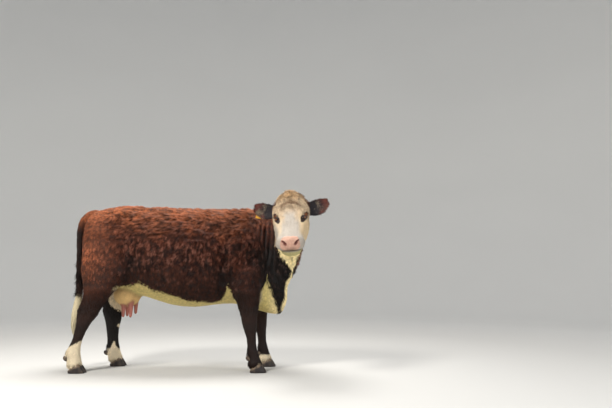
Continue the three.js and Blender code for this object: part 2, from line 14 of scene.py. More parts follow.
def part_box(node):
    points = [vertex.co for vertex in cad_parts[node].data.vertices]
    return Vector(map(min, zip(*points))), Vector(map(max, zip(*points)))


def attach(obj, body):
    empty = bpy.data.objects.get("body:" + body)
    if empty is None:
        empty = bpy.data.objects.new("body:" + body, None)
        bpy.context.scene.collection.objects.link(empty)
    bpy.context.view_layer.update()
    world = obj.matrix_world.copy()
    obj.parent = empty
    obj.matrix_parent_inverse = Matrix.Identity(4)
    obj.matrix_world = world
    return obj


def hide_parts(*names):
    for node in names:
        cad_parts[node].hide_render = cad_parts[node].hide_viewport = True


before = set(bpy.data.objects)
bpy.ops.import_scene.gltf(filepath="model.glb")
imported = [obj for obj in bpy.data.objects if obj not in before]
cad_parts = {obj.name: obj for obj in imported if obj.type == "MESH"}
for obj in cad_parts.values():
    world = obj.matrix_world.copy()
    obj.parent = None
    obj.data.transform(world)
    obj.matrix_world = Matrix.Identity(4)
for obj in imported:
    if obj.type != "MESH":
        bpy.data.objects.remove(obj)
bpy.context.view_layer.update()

# ---- Driving sizes ----

X, Y, Z = 0, 1, 2
BUTTOCKS = -0.838  # the trunk's hind end, in her own frame
SIDES = {"right": -1, "left": 1}

POLL = Vector((0.905, -0.400, 1.354))  # the crown of the head, between the ears
HEAD_YAW, HEAD_ROLL, HEAD_PITCH = -92.7, 4.1, 42  # degrees
EYE = np.array([0.228, 0.098, -0.034])  # the left eyeball's centre, in the head's axes
EYE_RADIUS = 0.0196
EYE_LOOKS = (0.1, 0.76, 0.64)  # the way out of the left socket
LID_OPENING = (0.0205, 0.0108)  # half length and half height of the almond between the lids
NOSTRIL = (0.512, 0.039, -0.044)
NOSTRIL_RADII = (0.0125, 0.0092)
MOUTH_HEIGHT = -0.100
PAD = {"back": 0.470, "low": -0.090, "half": 0.069, "wider_right": 0.006, "soft": 0.003}  # bare nose
EAR_ROOT = np.array([0.066, 0.104, -0.078])
EAR_UP, EAR_BACK = 17, 8  # degrees
EAR_LENGTH = 0.24
TAG_BUTTON = np.array([0.158, -0.030, -0.010])  # the tag's button, in the right ear's axes

VOXEL = 0.008
FINE = {"head": 0.0042, "ear": 0.0042, "face": 0.0021}
GROWN = {"head": 0.004, "ear": 0.006}  # how far thin or slotted solids are fattened before the remesh
GROWN_BODY = 0.0012

COAT_DEPTH = {
    "trunk": 0.015, "neck": 0.015, "head": 0.0012, "fore_leg": 0.0020, "hind_leg": 0.0020,
    "ear": 0.0012, "tail": 0.001, "udder": 0.001, "teat": 0.0006,
}
PATCH_HALF = (0.073, 0.022)  # half length and half height of the dark patch round an eye
PATCH = 0.003  # how wide a tuft is on its piece's map
MOST_TUFT_TRIANGLES = 190_000  # in one piece
ROOT_DEPTH = 0.0015  # how far a tuft starts under the skin
# Each tuft is painted darker at its root, as shade deep in the coat, and lighter at its tip, as painted
# light.
ROOT_SHADE, PALE_ROOT_SHADE, TIP_SHADE = 0.38, 0.80, 1.28
DENSITY = {  # tufts to the square metre
    "body": 34_000, "leg": 28_000, "face": 80_000, "crown": 60_000, "ear": 105_000, "tail": 45_000,
}
FEWEST_TUFTS = 40  # a part with fewer grows none

WHITE_EDGE = np.array([  # how high the white of the belly and chest reaches, as x and z
    (-0.700, 0.560), (-0.550, 0.595), (-0.530, 0.645), (-0.487, 0.676), (-0.419, 0.684),
    (-0.340, 0.706), (-0.310, 0.728), (-0.248, 0.680), (-0.183, 0.654), (-0.093, 0.636),
    (-0.009, 0.612), (0.090, 0.570), (0.159, 0.553), (0.264, 0.553), (0.340, 0.563),
    (0.372, 0.610), (0.404, 0.690), (0.432, 0.626), (0.445, 0.562), (0.620, 0.545),
    (0.648, 0.560), (0.660, 0.637), (0.692, 0.684), (0.712, 0.722), (0.717, 0.785),
    (0.722, 0.718), (0.740, 0.668), (0.761, 0.626), (0.781, 0.573), (0.800, 0.519), (0.812, 0.455),
])
BREAST_EDGE = np.array([  # how far forward the brown of the neck reaches over the white throat, as z and x
    (0.455, 0.826), (0.473, 0.829), (0.550, 0.839), (0.624, 0.846), (0.699, 0.853), (0.742, 0.879),
    (0.795, 0.903), (0.835, 0.884), (0.887, 0.853), (0.929, 0.822), (0.990, 0.800),
])
FAR_BREAST_EDGE = np.array([  # where the brown of the far side of the throat starts, as z and x
    (0.690, 0.930), (0.720, 0.905), (0.795, 0.910), (0.835, 0.925), (0.887, 0.955), (0.929, 0.975),
])
LEFT_EDGE = np.array([  # how far to her left the white of the throat reaches, as z and y
    (0.740, 0.250), (0.780, 0.000), (0.800, -0.080), (0.850, -0.140), (0.930, -0.175), (1.000, -0.195),
    (1.100, -0.240),
])
THIGH_EDGE = np.array([  # where the white inside the far thigh starts, as z and x
    (0.468, -0.580), (0.491, -0.630), (0.530, -0.665), (0.569, -0.684),
])


def colour(red, green, blue):
    """A colour given as it looks on a screen, as the linear numbers that shaders take."""
    shown = np.array([red, green, blue]) / 255
    return np.where(shown <= 0.04045, shown / 12.92, ((shown + 0.055) / 1.055) ** 2.4)


COLOURS = {name: colour(*shown) for name, shown in {
    # back, side and low below: the coat's own browns, painted lighter on the back as light from above and
    # darker low down as shade
    "back": (154, 88, 54), "side": (88, 45, 29), "low": (51, 25, 15), "thigh": (134, 76, 50),
    # neck and throat below: both painted darker as shade, the throat nearly black
    "neck": (80, 40, 27), "throat": (20, 10, 6), "leg": (36, 17, 9), "tail": (40, 25, 20),
    # The pale pinkish brown below is a painted highlight on the lightest tufts.
    "gloss": (196, 160, 148),
    # belly below: the cream painted darker and yellower, as painted shade with a yellow-green painted
    # reflection
    "sock": (217, 201, 172), "breast": (250, 230, 174), "belly": (198, 180, 116),
    # udder below: its own pinkish cream, painted darker and yellower as shade
    "switch": (210, 197, 164), "udder": (204, 168, 112), "teat": (166, 104, 92),
    # crest below: the painted shadow under the arch of the crown's hair, and the darker streaks on the
    # forehead
    "face": (167, 158, 147), "crown": (180, 148, 110), "crest": (104, 70, 42),
    # cheek and chin below: the face's cream painted as shade, tan on the shaded cheek and olive under the
    # chin
    "forehead": (184, 162, 134), "cheek": (216, 190, 150), "chin": (170, 161, 112),
    # nostril and mouth below: painted shade in the nostrils and a painted shadow along the mouth
    "nose": (190, 149, 130), "nostril": (116, 66, 60), "mouth": (66, 52, 34), "lid": (40, 26, 22),
    # Round the eyes: dark skin with painted shade in the socket, and warm brown hair with painted light on
    # it.
    "eye_patch": (36, 20, 16), "eye_warm": (176, 104, 62),
    "ear": (34, 29, 33), "ear_rim": (118, 62, 50), "ear_hair": (186, 166, 142),
    "iris": (168, 98, 52), "eye_white": (112, 78, 58), "pupil": (8, 7, 8),
    "horn": (44, 38, 37), "pale_horn": (128, 108, 86),
    "tag": (214, 150, 22), "pale_tag": (240, 184, 44),
    "floor": (206, 205, 202), "wall": (246, 246, 244),
}.items()}


# ---- Numbers ----


def ramp(value, low, high):
    """0 below low, 1 above high and smooth between them. High may be the lower of the two."""
    share = np.clip((value - low) / (high - low), 0, 1)
    return share * share * (3 - 2 * share)


def edge(value, soft):
    """0 below zero and 1 above it, with a soft edge."""
    return ramp(value, -soft, soft)


def between(value, rise, fall):
    """1 between two ramps: it rises over the first pair of values and falls over the second."""
    return ramp(value, *rise) * ramp(value, *fall)


def within(points, *spans):
    """1 where a point is inside every span. A span is an axis and the values over which it comes in."""
    share = 1
    for axis, low, high in spans:
        share = share * ramp(points[:, axis], low, high)
    return share


def peak(value, middle, width):
    """1 where the value is in the middle, falling smoothly to nothing two widths away."""
    return np.exp(-(((value - middle) / width) ** 2))


def hill(points, centre, radius):
    """1 at the centre, falling smoothly to nothing beyond the radius, which may differ by axis."""
    return np.exp(-2 * (((points - np.array(centre)) / radius) ** 2).sum(-1))


def mixed(a, b, share):
    return a + (b - a) * share[:, None]


def unit(vectors):
    return vectors / np.maximum(np.linalg.norm(vectors, axis=-1, keepdims=True), 1e-12)


def dot(a, b):
    return (a * b).sum(-1)


def line_gap(points, a, b):
    """How far each point is from the line between two others."""
    share = np.clip(((points - a) @ (b - a)) / ((b - a) @ (b - a)), 0, 1)
    return np.linalg.norm(points - a - share[:, None] * (b - a), axis=1)


def hashed(cells, seed):
    """Three numbers from 0 to 1 that belong to each whole-numbered cell."""
    base = cells @ np.array([12.9898, 78.233, 37.719]) + seed * 17.31
    return np.stack([np.abs(np.sin(base + turn)) * 43758.5453 % 1 for turn in (0, 1.7, 4.1)], -1)


def noise(points, size, seed=0):
    """Smooth noise from -1 to 1, with bumps about size across."""
    scaled = points / size
    cells = np.floor(scaled)
    share = ramp(scaled - cells, 0, 1)
    total = 0
    for corner in np.ndindex(2, 2, 2):
        weight = np.where(corner, share, 1 - share).prod(-1)
        total = total + weight * hashed(cells + corner, seed)[..., 0]
    return total * 2 - 1


def mottled(tint, amount, points, size, seed):
    """A colour that goes lighter and darker from place to place."""
    return tint * (1 + amount * noise(points, size, seed))[:, None]


def locks(points, size, seed):
    """The nearest of a set of scattered centres, one to a cell, with how far off it is in cells and
    three random numbers of its own."""
    scaled = points / size
    cells = np.floor(scaled)
    gap = np.full(len(points), np.inf)
    nearest = np.zeros_like(points)
    for step in np.ndindex(3, 3, 3):
        near = cells + step - 1
        centres = near + hashed(near, seed)
        distance = np.linalg.norm(centres - scaled, axis=1)
        closer = distance < gap
        gap[closer] = distance[closer]
        nearest[closer] = centres[closer]
    return nearest * size, gap, hashed(np.floor(nearest), seed + 7)


# ---- Frames ----

tail_low, tail_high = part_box("tail")
ORIGIN = np.array([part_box("trunk")[0].x - BUTTOCKS, (tail_low.y + tail_high.y) / 2, 0])


def turned(degrees, axis):
    return Matrix.Rotation(np.radians(degrees), 4, axis)


HEAD = np.array(
    Matrix.Translation(POLL) @ turned(HEAD_YAW, "Z") @ turned(HEAD_ROLL, "X") @ turned(HEAD_PITCH, "Y")
)


def into(points, matrix):
    return (points - matrix[:3, 3]) @ matrix[:3, :3]


def out_of(points, matrix):
    return points @ matrix[:3, :3].T + matrix[:3, 3]


def mirrored(vector, side):
    return np.array(vector) * [1, side, 1]


def ear_frame(side):
    """An ear's axes: x from root to tip, y up across it and z the way its hollow faces."""
    pitch = np.radians(HEAD_PITCH)
    up = np.array([-np.sin(pitch), 0, np.cos(pitch)])
    forward = np.array([np.cos(pitch), 0, np.sin(pitch)])
    tips = np.array([0, side, 0]) + up * np.tan(np.radians(EAR_UP)) - forward * np.tan(np.radians(EAR_BACK))
    along = unit(tips)
    across = unit(up - along * dot(up, along))
    local = np.eye(4)
    local[:3, :3] = np.stack([along, across, np.cross(along, across) * side], 1)
    local[:3, 3] = mirrored(EAR_ROOT, side)
    return HEAD @ local


EARS = {side: ear_frame(side) for side in SIDES.values()}


def on_right(points):
    return into(points, HEAD)[:, 1] < 0


def own_ear(points):
    """Each point in the axes of the ear on its side of the head, and those axes as three rows."""
    right = on_right(points)[:, None]
    placed = np.where(right, into(points, EARS[-1]), into(points, EARS[1]))
    return placed, np.where(right[..., None], EARS[-1][:3, :3].T, EARS[1][:3, :3].T)


def eye_axes(side):
    """Rows: from the eye towards its inner corner, up across the lids, and out of the socket."""
    out = unit(mirrored(EYE_LOOKS, side))
    corner = np.array([1, 0, 0.3])
    along = unit(corner - out * dot(corner, out))
    return np.stack([along, np.cross(along, out) * side, out])


# ---- Meshes ----

ATTRIBUTE_KINDS = {1: ("FLOAT", "value"), 3: ("FLOAT_VECTOR", "vector"), 4: ("FLOAT_COLOR", "color")}


def arrays_of(mesh):
    """A mesh's corners and its triangles."""
    corners = np.empty(len(mesh.vertices) * 3, np.float32)
    mesh.vertices.foreach_get("co", corners)
    mesh.calc_loop_triangles()
    tris = np.empty(len(mesh.loop_triangles) * 3, np.int32)
    mesh.loop_triangles.foreach_get("vertices", tris)
    return corners.reshape(-1, 3).astype(float), tris.reshape(-1, 3)


def node_arrays(name):
    """A node's corners, in her own frame, and its triangles."""
    corners, tris = arrays_of(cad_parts[name].data)
    points, index = np.unique(np.round(corners, 5), axis=0, return_inverse=True)
    return points - ORIGIN, index.reshape(-1)[tris]


def joined(solids):
    """Several pairs of points and triangles as one."""
    offsets = np.cumsum([0] + [len(points) for points, _ in solids])
    tris = [tris + offset for (_, tris), offset in zip(solids, offsets)]
    return np.concatenate([points for points, _ in solids]), np.concatenate(tris)


def normals_of(points, tris):
    a, b, c = (points[tris[:, k]] for k in range(3))
    faces = np.cross(b - a, c - a)
    sums = [np.bincount(tris.ravel(), np.repeat(faces[:, k], 3), len(points)) for k in range(3)]
    return unit(np.stack(sums, 1))


def edges_of(tris, count):
    """Each edge once, and for each triangle's three edges which one it is."""
    pairs = np.sort(np.concatenate([tris[:, [0, 1]], tris[:, [1, 2]], tris[:, [2, 0]]]), axis=1)
    keys, which = np.unique(pairs[:, 0].astype(np.int64) * count + pairs[:, 1], return_inverse=True)
    return np.stack([keys // count, keys % count], 1), which.reshape(3, -1).T


def relaxed(values, tris, strength, times):
    """Moves each value towards the mean of its neighbours, by its own share."""
    i, j = edges_of(tris, len(values))[0].T
    degree = np.maximum(np.bincount(np.concatenate([i, j]), minlength=len(values)), 1)[:, None]
    strength = np.broadcast_to(strength, len(values))[:, None]
    for _ in range(times):
        sums = [np.bincount(i, v[j], len(values)) + np.bincount(j, v[i], len(values)) for v in values.T]
        values = values + strength * (np.stack(sums, 1) / degree - values)
    return values


def split_tris(tris, mids):
    """Triangles with the new points on their edges joined in. An edge that isn't split has -1."""
    count = (mids >= 0).sum(1)
    made = [tris[count == 0]]
    t, m = tris[count == 3], mids[count == 3]
    made += [np.stack([t[:, k], m[:, k], m[:, k - 1]], 1) for k in range(3)] + [m]
    for k in range(3):
        turn = [k, (k + 1) % 3, (k + 2) % 3]
        one = (count == 1) & (mids[:, k] >= 0)
        (a, b, c), p = tris[one][:, turn].T, mids[one][:, k]
        made += [np.stack([a, p, c], 1), np.stack([p, b, c], 1)]
        two = (count == 2) & (mids[:, k] < 0)
        (a, b, c), (_, p, q) = tris[two][:, turn].T, mids[two][:, turn].T
        made += [np.stack([c, q, p], 1), np.stack([a, b, p], 1), np.stack([a, p, q], 1)]
    return np.concatenate(made)


def refined(packed, tris, longest):
    """Splits in two each edge that is longer than longest() allows at its middle. The first three
    columns are the points, and any others are shared out along with them."""
    edges, which = edges_of(tris, len(packed))
    a, b = packed[edges[:, 0]], packed[edges[:, 1]]
    split = np.linalg.norm((a - b)[:, :3], axis=1) > longest((a + b)[:, :3] / 2)
    middle = np.full(len(edges), -1)
    middle[split] = len(packed) + np.arange(split.sum())
    return np.concatenate([packed, (a + b)[split] / 2]), split_tris(tris, middle[which])


def mesh_object(name, points, tris, **attributes):
    """An object of these triangles, with one colour, vector or number per point for each attribute."""
    mesh = bpy.data.meshes.new(name)
    mesh.vertices.add(len(points))
    mesh.vertices.foreach_set("co", (points + ORIGIN).astype(np.float32).ravel())
    mesh.loops.add(tris.size)
    mesh.loops.foreach_set("vertex_index", tris.astype(np.int32).ravel())
    mesh.polygons.add(len(tris))
    mesh.polygons.foreach_set("loop_start", np.arange(0, tris.size, 3, dtype=np.int32))
    mesh.polygons.foreach_set("use_smooth", np.ones(len(tris), bool))
    mesh.update(calc_edges=True)
    for key, values in attributes.items():
        if key == "tint":
            values = np.concatenate([values, np.ones((len(values), 1))], 1)
        kind, field = ATTRIBUTE_KINDS[values.size // len(points)]
        data = mesh.attributes.new(key, kind, "POINT").data
        data.foreach_set(field, values.astype(np.float32).ravel())
    made = bpy.data.objects.new(name, mesh)
    bpy.context.scene.collection.objects.link(made)
    return made


def remeshed(points, tris, voxel):
    """One closed surface round all these triangles."""
    rough = mesh_object("rough", points, tris)
    modifier = rough.modifiers.new("voxels", "REMESH")
    modifier.mode = "VOXEL"
    modifier.voxel_size = voxel
    shaped = rough.evaluated_get(bpy.context.evaluated_depsgraph_get())
    corners, faces = arrays_of(shaped.to_mesh())
    shaped.to_mesh_clear()
    bpy.data.objects.remove(rough)
    return corners - ORIGIN, faces


# ---- Skin ----

PARTS = ["trunk", "neck", "head", "fore_leg", "hind_leg", "ear", "tail", "udder", "teat"]
NOT_FLESH = ("eye", "ear_tag", "tail_switch")
FLESH = [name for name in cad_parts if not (name.startswith(NOT_FLESH) or name.endswith("claw"))]
SOCKET_BALL = (EYE, np.full(3, EYE_RADIUS + 0.005))  # centre and radii of what fills a socket
NOSTRIL_BALL = ((0.498, 0.042, -0.046), (0.020, 0.016, 0.015))


def part_of(name):
    return next(i for i, part in enumerate(PARTS) if name.startswith(part))


def of_parts(shares):
    return dict(zip(PARTS, shares.T))


def grown_node(name):
    points, tris = node_arrays(name)
    grown = GROWN.get(PARTS[part_of(name)], GROWN_BODY)
    return points + normals_of(points, tris) * grown, tris


def ball(centre, radii, rows=16):
    """A closed ball in the head's axes, as points and triangles in her own frame."""
    rings = []
    sides = 2 * rows
    turn = np.arange(sides) * np.pi / rows
    for lift in np.linspace(-np.pi / 2, np.pi / 2, rows)[1:-1]:
        high = np.full_like(turn, np.sin(lift))
        rings.append(np.stack([np.cos(lift) * np.cos(turn), np.cos(lift) * np.sin(turn), high], 1))
    points = np.concatenate([*rings, [[0, 0, -1], [0, 0, 1]]])
    low, top = len(points) - 2, len(points) - 1
    last = (len(rings) - 1) * sides
    tris = []
    for s in range(sides):
        e = (s + 1) % sides
        tris.append((low, e, s))
        for a in range(0, last, sides):
            b = a + sides
            tris += [(a + s, a + e, b + e), (a + s, b + e, b + s)]
        tris.append((top, last + s, last + e))
    return out_of(points * np.array(radii) + centre, HEAD), np.array(tris)


def flesh():
    """All the nodes of flesh as one rough surface, with the eye sockets and nostrils filled."""
    solids = [grown_node(name) for name in FLESH]
    for side in SIDES.values():
        solids += [ball(mirrored(centre, side), radii) for centre, radii in (SOCKET_BALL, NOSTRIL_BALL)]
    return remeshed(*joined(solids), VOXEL)


def part_shares(points, tris):
    """How far each point belongs to each part, smooth across the joins."""
    solids = [node_arrays(name) for name in FLESH]
    owner = np.repeat([part_of(name) for name in FLESH], [len(own) for _, own in solids])
    tree = BVHTree.FromPolygons(*(values.tolist() for values in joined(solids)))
    nearest = np.array([tree.find_nearest(point)[2] for point in points.tolist()])
    return relaxed(np.eye(len(PARTS))[owner[nearest]], tris, 0.6, 8)


HEAD_MIDDLE, HEAD_REACH = (0.25, 0, -0.08), 0.36
EYE_REACH = 0.062
EAR_HALF = (0.1, 0.06)  # across an ear and through it, with room to spare
MUZZLE = {"back": 0.445, "half": 0.12}


def wanted_edge(points):
    """The longest edge that the skin may keep at a point."""
    on_head = into(points, HEAD)
    longest = np.full(len(points), VOXEL * 2.0)
    in_head = (on_head[:, X] > -0.05) & (np.linalg.norm(on_head - HEAD_MIDDLE, axis=1) < HEAD_REACH)
    longest[in_head] = FINE["head"] * 1.5
    for side, axes in EARS.items():
        along, across, through = np.abs(into(points, axes) - [EAR_LENGTH / 2, 0, 0]).T
        in_ear = (along < EAR_LENGTH / 2) & (across < EAR_HALF[0]) & (through < EAR_HALF[1])
        longest[in_ear] = FINE["ear"] * 1.5
        eye = np.linalg.norm(on_head - mirrored(EYE, side), axis=1) < EYE_REACH
        longest[eye] = FINE["face"] * 1.5
    muzzle = (on_head[:, X] > MUZZLE["back"]) & (np.abs(on_head[:, Y]) < MUZZLE["half"])
    longest[muzzle] = FINE["face"] * 1.5
    return longest


CROWN_DEPTH = 0.010  # how much deeper the coat is on her crown than on the rest of the head
CROWN_SPANS = ((X, 0.18, 0.02), (Z, -0.10, 0.0))
PAD_RISE = 0.004  # how far the bare skin of the nose comes out past the hairy skin
PAD_SPANS = ((X, 0.455, 0.475), (Z, -0.112, -0.098))
LEGS = ("fore_leg", "hind_leg")
DEPTH_CHANGES = [  # by how much the coat's depth changes on some parts, and over which span
    (LEGS, 0.006, (Z, 0.42, 0.62)), (LEGS, -0.005, (Z, 0.13, 0.08)), (LEGS, -0.008, (Z, 0.094, 0.066)),
    (("trunk",), -0.007, (X, -0.68, -0.78)),
]


def coat_depth(points, of):
    """How far the skin lies inside the fattened solids."""
    on_head = into(points, HEAD)
    crown, pad = within(on_head, *CROWN_SPANS), within(on_head, *PAD_SPANS)
    depth = sum(of[part] * COAT_DEPTH[part] for part in PARTS)
    depth = depth + of["head"] * (CROWN_DEPTH * crown - PAD_RISE * pad)
    for parts, change, span in DEPTH_CHANGES:
        depth = depth + change * sum(of[part] for part in parts) * within(points, span)
    grown = of["head"] * GROWN["head"] + of["ear"] * GROWN["ear"]
    return depth + grown + (1 - of["head"] - of["ear"]) * GROWN_BODY


FORMS = [  # centre, radius and height of each swelling or hollow on both sides of the body
    ((-0.500, 0.240, 1.265), (0.085, 0.08, 0.070), 0.010),  # hook bone
    ((-0.370, 0.290, 1.130), (0.150, 0.20, 0.120), -0.016),  # hollow before the hip
    ((-0.770, 0.110, 1.190), (0.060, 0.08, 0.080), 0.008),  # pin bone
    ((-0.640, 0.260, 0.950), (0.180, 0.20, 0.240), 0.012),  # thigh
    ((-0.480, 0.260, 0.740), (0.080, 0.12, 0.110), 0.012),  # stifle
    ((-0.385, 0.270, 0.790), (0.060, 0.12, 0.130), -0.014),  # before the stifle
    ((0.590, 0.260, 1.080), (0.160, 0.16, 0.250), 0.012),  # shoulder blade
    ((0.745, 0.200, 0.860), (0.090, 0.12, 0.090), 0.010),  # point of the shoulder
    ((0.390, 0.300, 0.980), (0.090, 0.18, 0.260), -0.014),  # behind the shoulder
    ((0.470, 0.240, 0.650), (0.060, 0.10, 0.080), 0.010),  # elbow
    ((0.370, 0.280, 0.680), (0.060, 0.14, 0.110), -0.012),  # behind the elbow
    ((0.100, 0.350, 0.860), (0.300, 0.20, 0.280), 0.006),  # barrel
]
FACE_FORMS = [  # the same on the head, in its axes
    ((0.205, 0.088, 0.004), (0.050, 0.035, 0.030), 0.006),  # brow
    ((0.145, 0.132, -0.140), (0.080, 0.050, 0.070), 0.005),  # cheek
    ((0.270, 0.105, -0.080), (0.070, 0.030, 0.020), 0.005),  # crest of the cheek bone
    ((0.335, 0.095, -0.110), (0.060, 0.040, 0.045), -0.002),  # before the cheek
    ((0.320, 0.130, -0.080), (0.120, 0.060, 0.100), 0.012),  # side of the face
    ((0.120, 0.100, 0.020), (0.050, 0.040, 0.040), -0.004),  # temple
    ((0.470, 0.095, -0.075), (0.030, 0.030, 0.040), 0.004),  # upper lip
]
RIGHT_CHEEK = ((0.390, -0.115, -0.085), (0.210, 0.070, 0.120), 0.011)  # fuller than the left
CREASES = [  # folds of the coat as x and z along them, and how wide
    (((-0.300, 1.340), (-0.440, 1.215), (-0.545, 1.110)), 0.026),  # before the hook bone
    (((0.470, 1.240), (0.385, 1.000), (0.370, 0.700)), 0.032),  # behind the shoulder
    (((-0.330, 0.930), (-0.395, 0.800), (-0.430, 0.690)), 0.030),  # before the thigh
    (((0.690, 1.120), (0.735, 0.930), (0.700, 0.780)), 0.024),  # before the shoulder
]
CREASE_DEPTH = 0.010
UDDER_CLEFT = {"depth": 0.010, "half": 0.010}
FOLD_SPACING, FOLD_HEIGHT = 0.036, 0.014
FOLDS_AWAY = ((0.10, 0.13), (0.40, 0.25))  # where the folds of the neck begin and end, back from the poll
FOLDS_HIGH = ((0.66, 0.80), (1.26, 1.14))
RUFFLE = {"level": (0.085, 0.060, 0.030), "upright": (0.032, 0.040, 0.090)}  # sizes of the coat's waves
RUFFLE_RISE, RUFFLE_FALL = 0.006, 0.022
RUFFLE_SPANS = ((Z, 0.60, 0.72), (X, -0.80, -0.55))
BACK_STARTS = (1.0, 1.1)  # the height over which the coat turns from upright to level


def neck_folds(points, of):
    """Upright ridges in the skin of the neck behind the head, as a height and how strong they are."""
    x, y, z = points.T
    away = POLL.x - x + 0.010 * noise(points, 0.12, 11) + 0.04 * (z - 1.0)
    ridge = np.abs(np.sin(np.pi * away / FOLD_SPACING))
    inner = between(away, *FOLDS_AWAY) * between(z, *FOLDS_HIGH)
    strength = inner * of["neck"] * ramp(0.04 - y, -0.08, 0.02)
    return (ridge - 0.6) * strength, strength


def crease(points):
    """1 along the folds of her flank and shoulder and 0 away from them, on both sides."""
    total = np.zeros(len(points))
    for line, radius in CREASES:
        ends = np.array(line)
        gaps = [line_gap(points[:, [X, Z]], a, b) for a, b in zip(ends[:-1], ends[1:])]
        gap = np.minimum.reduce(gaps) + 0.012 * noise(points, 0.05, 34)
        total = np.maximum(total, peak(gap, 0, radius))
    return total


def woolly(points):
    """1 where the coat is long and curly, and less on the quarters, the flank and the breast."""
    x, _, z = points.T
    before_hips = ramp(x + 0.5 * (z - 1.1), -0.62, -0.42)
    return 0.35 + 0.65 * before_hips * ramp(z + 0.05 * noise(points, 0.2, 14), 0.74, 0.92)


def back_height(points, wave):
    """Height, less on the neck and wavering. It says where the level coat of her back starts."""
    return points[:, Z] + wave * noise(points, 0.15, 91) - 0.25 * ramp(points[:, X], 0.45, 0.65)


def ruffles(points, of):
    """Waves of the long coat: level on her back, upright on her sides."""
    level = np.abs(noise(points, RUFFLE["level"], 12))
    upright = np.abs(noise(points, RUFFLE["upright"], 13))
    wave = upright + (level - upright) * ramp(back_height(points, 0.05), *BACK_STARTS)
    rough = (of["trunk"] + of["neck"]) * within(points, *RUFFLE_SPANS)
    return rough * (RUFFLE_RISE - RUFFLE_FALL * wave) * woolly(points)


def raised(points, forms):
    """How far a list of swellings and hollows lifts the skin on both sides."""
    return sum(height * hill(points, mirrored(centre, side), radius)
               for centre, radius, height in forms for side in SIDES.values())


def modelled(points, tris, of):
    """The skin with the body's forms and folds."""
    folds, folded = neck_folds(points, of)
    lift = FOLD_HEIGHT * folds + ruffles(points, of) * (1 - folded)
    lift = lift + (1 - of["head"] - of["ear"] - of["tail"]) * raised(points, FORMS)
    lift = lift - UDDER_CLEFT["depth"] * of["udder"] * peak(points[:, Y], 0, UDDER_CLEFT["half"])
    lift = lift - CREASE_DEPTH * crease(points) * (of["trunk"] + of["neck"])
    return points + normals_of(points, tris) * lift[:, None]


LIPS = [  # height over the mouth's line, width and how far out: the slit, and the lip above and below it
    (0.0, 0.0045, -0.010), (0.014, 0.008, 0.003), (-0.013, 0.008, 0.002),
]
LIP_GROOVE = {"depth": 0.0025, "half": 0.004, "spans": ((X, 0.48, 0.50), (Z, -0.060, -0.075))}
MOUTH_SPAN = (X, 0.395, 0.430)
PAD_LIFT = 0.0022


def over_mouth(on_head):
    """How high each point is over the line of the mouth, which sinks to its corners."""
    x, y, z = on_head.T
    return z - MOUTH_HEIGHT + 0.012 * ramp(np.abs(y), 0.03, 0.09) + 0.010 * ramp(x, 0.47, 0.41)


def modelled_face(points, tris, of):
    """The skin with brows, lids, nostrils and mouth. Everything here is in the head's axes."""
    normals = normals_of(points, tris) @ HEAD[:3, :3]
    on_head = into(points, HEAD)
    y = on_head[:, Y]
    centre, radius, height = RIGHT_CHEEK
    lift = raised(on_head, FACE_FORMS) + height * hill(on_head, centre, radius)
    for middle, width, out in LIPS:
        lift += out * within(on_head, MOUTH_SPAN) * peak(over_mouth(on_head), middle, width)
    groove = within(on_head, *LIP_GROOVE["spans"]) * peak(y, 0, LIP_GROOVE["half"])
    lift += PAD_LIFT * pad_share(on_head) - LIP_GROOVE["depth"] * groove
    on_head = on_head + normals * lift[:, None]
    for side in SIDES.values():
        on_head = with_nostril(with_eye(on_head, side), side)
    moved = out_of(on_head, HEAD) - points
    return points + moved * ramp(of["head"], 0.2, 0.6)[:, None]


def pad_share(on_head):
    """1 on the bare skin of the nose and 0 off it."""
    x, y, z = on_head.T
    half = PAD["half"] + PAD["wider_right"] * (y < 0)
    half = half - 0.020 * ramp(z, -0.045, 0.0) - 0.018 * ramp(z, -0.068, -0.095)
    sides = ramp(np.abs(y), half + 0.002, half - 0.003)
    back = PAD["back"] + 0.012 * ramp(np.abs(y), 0.035, 0.07) + 0.004 * noise(on_head, 0.012, 21)
    return sides * edge(x - back, PAD["soft"]) * edge(z - PAD["low"], PAD["soft"])


FAR = 99  # the value of a place that an opening can't reach
LIDS = {"deep": -0.006, "reach": 9.0, "full": 3.0, "over": 0.0042, "behind": 0.005}
LID_CREASE = {"value": 3.4, "width": 0.7, "depth": 0.0022}
NOSTRIL_TAIL = {"across": 0.011, "up": 0.008, "radii": (0.013, 0.0055)}
NOSTRIL_BACK, NOSTRIL_TILT = 0.462, 0.25
NOSTRIL_DEPTH, NOSTRIL_RIM = 0.020, 0.0035
NOSTRIL_INWARDS = (-0.86, -0.42, -0.12)  # the way into the left one


def lid_place(on_head, side):
    """A point seen from the eye: along the lids, up across them, outwards, and its value in the
    almond between the lids, which is under 1 inside the opening."""
    seen = (on_head - mirrored(EYE, side)) @ eye_axes(side).T
    along, up, out = seen.T
    value = np.abs(along / LID_OPENING[0]) ** 2 + np.abs(up / LID_OPENING[1]) ** 1.7
    return seen, np.where(out > LIDS["deep"], value, FAR)


def with_eye(on_head, side):
    """Opens the lids over an eyeball."""
    seen, value = lid_place(on_head, side)
    length = np.linalg.norm(seen, axis=1)
    fold = peak(value, LID_CREASE["value"], LID_CREASE["width"]) * (seen[:, 1] > 0)
    lid = EYE_RADIUS + LIDS["over"] - LID_CREASE["depth"] * fold
    target = length + (lid - length) * ramp(value, LIDS["reach"], LIDS["full"])
    target = np.where(value < 1, EYE_RADIUS - LIDS["behind"], target)
    placed = (unit(seen) * target[:, None]) @ eye_axes(side) + mirrored(EYE, side)
    return np.where((value < LIDS["reach"])[:, None], placed, on_head)


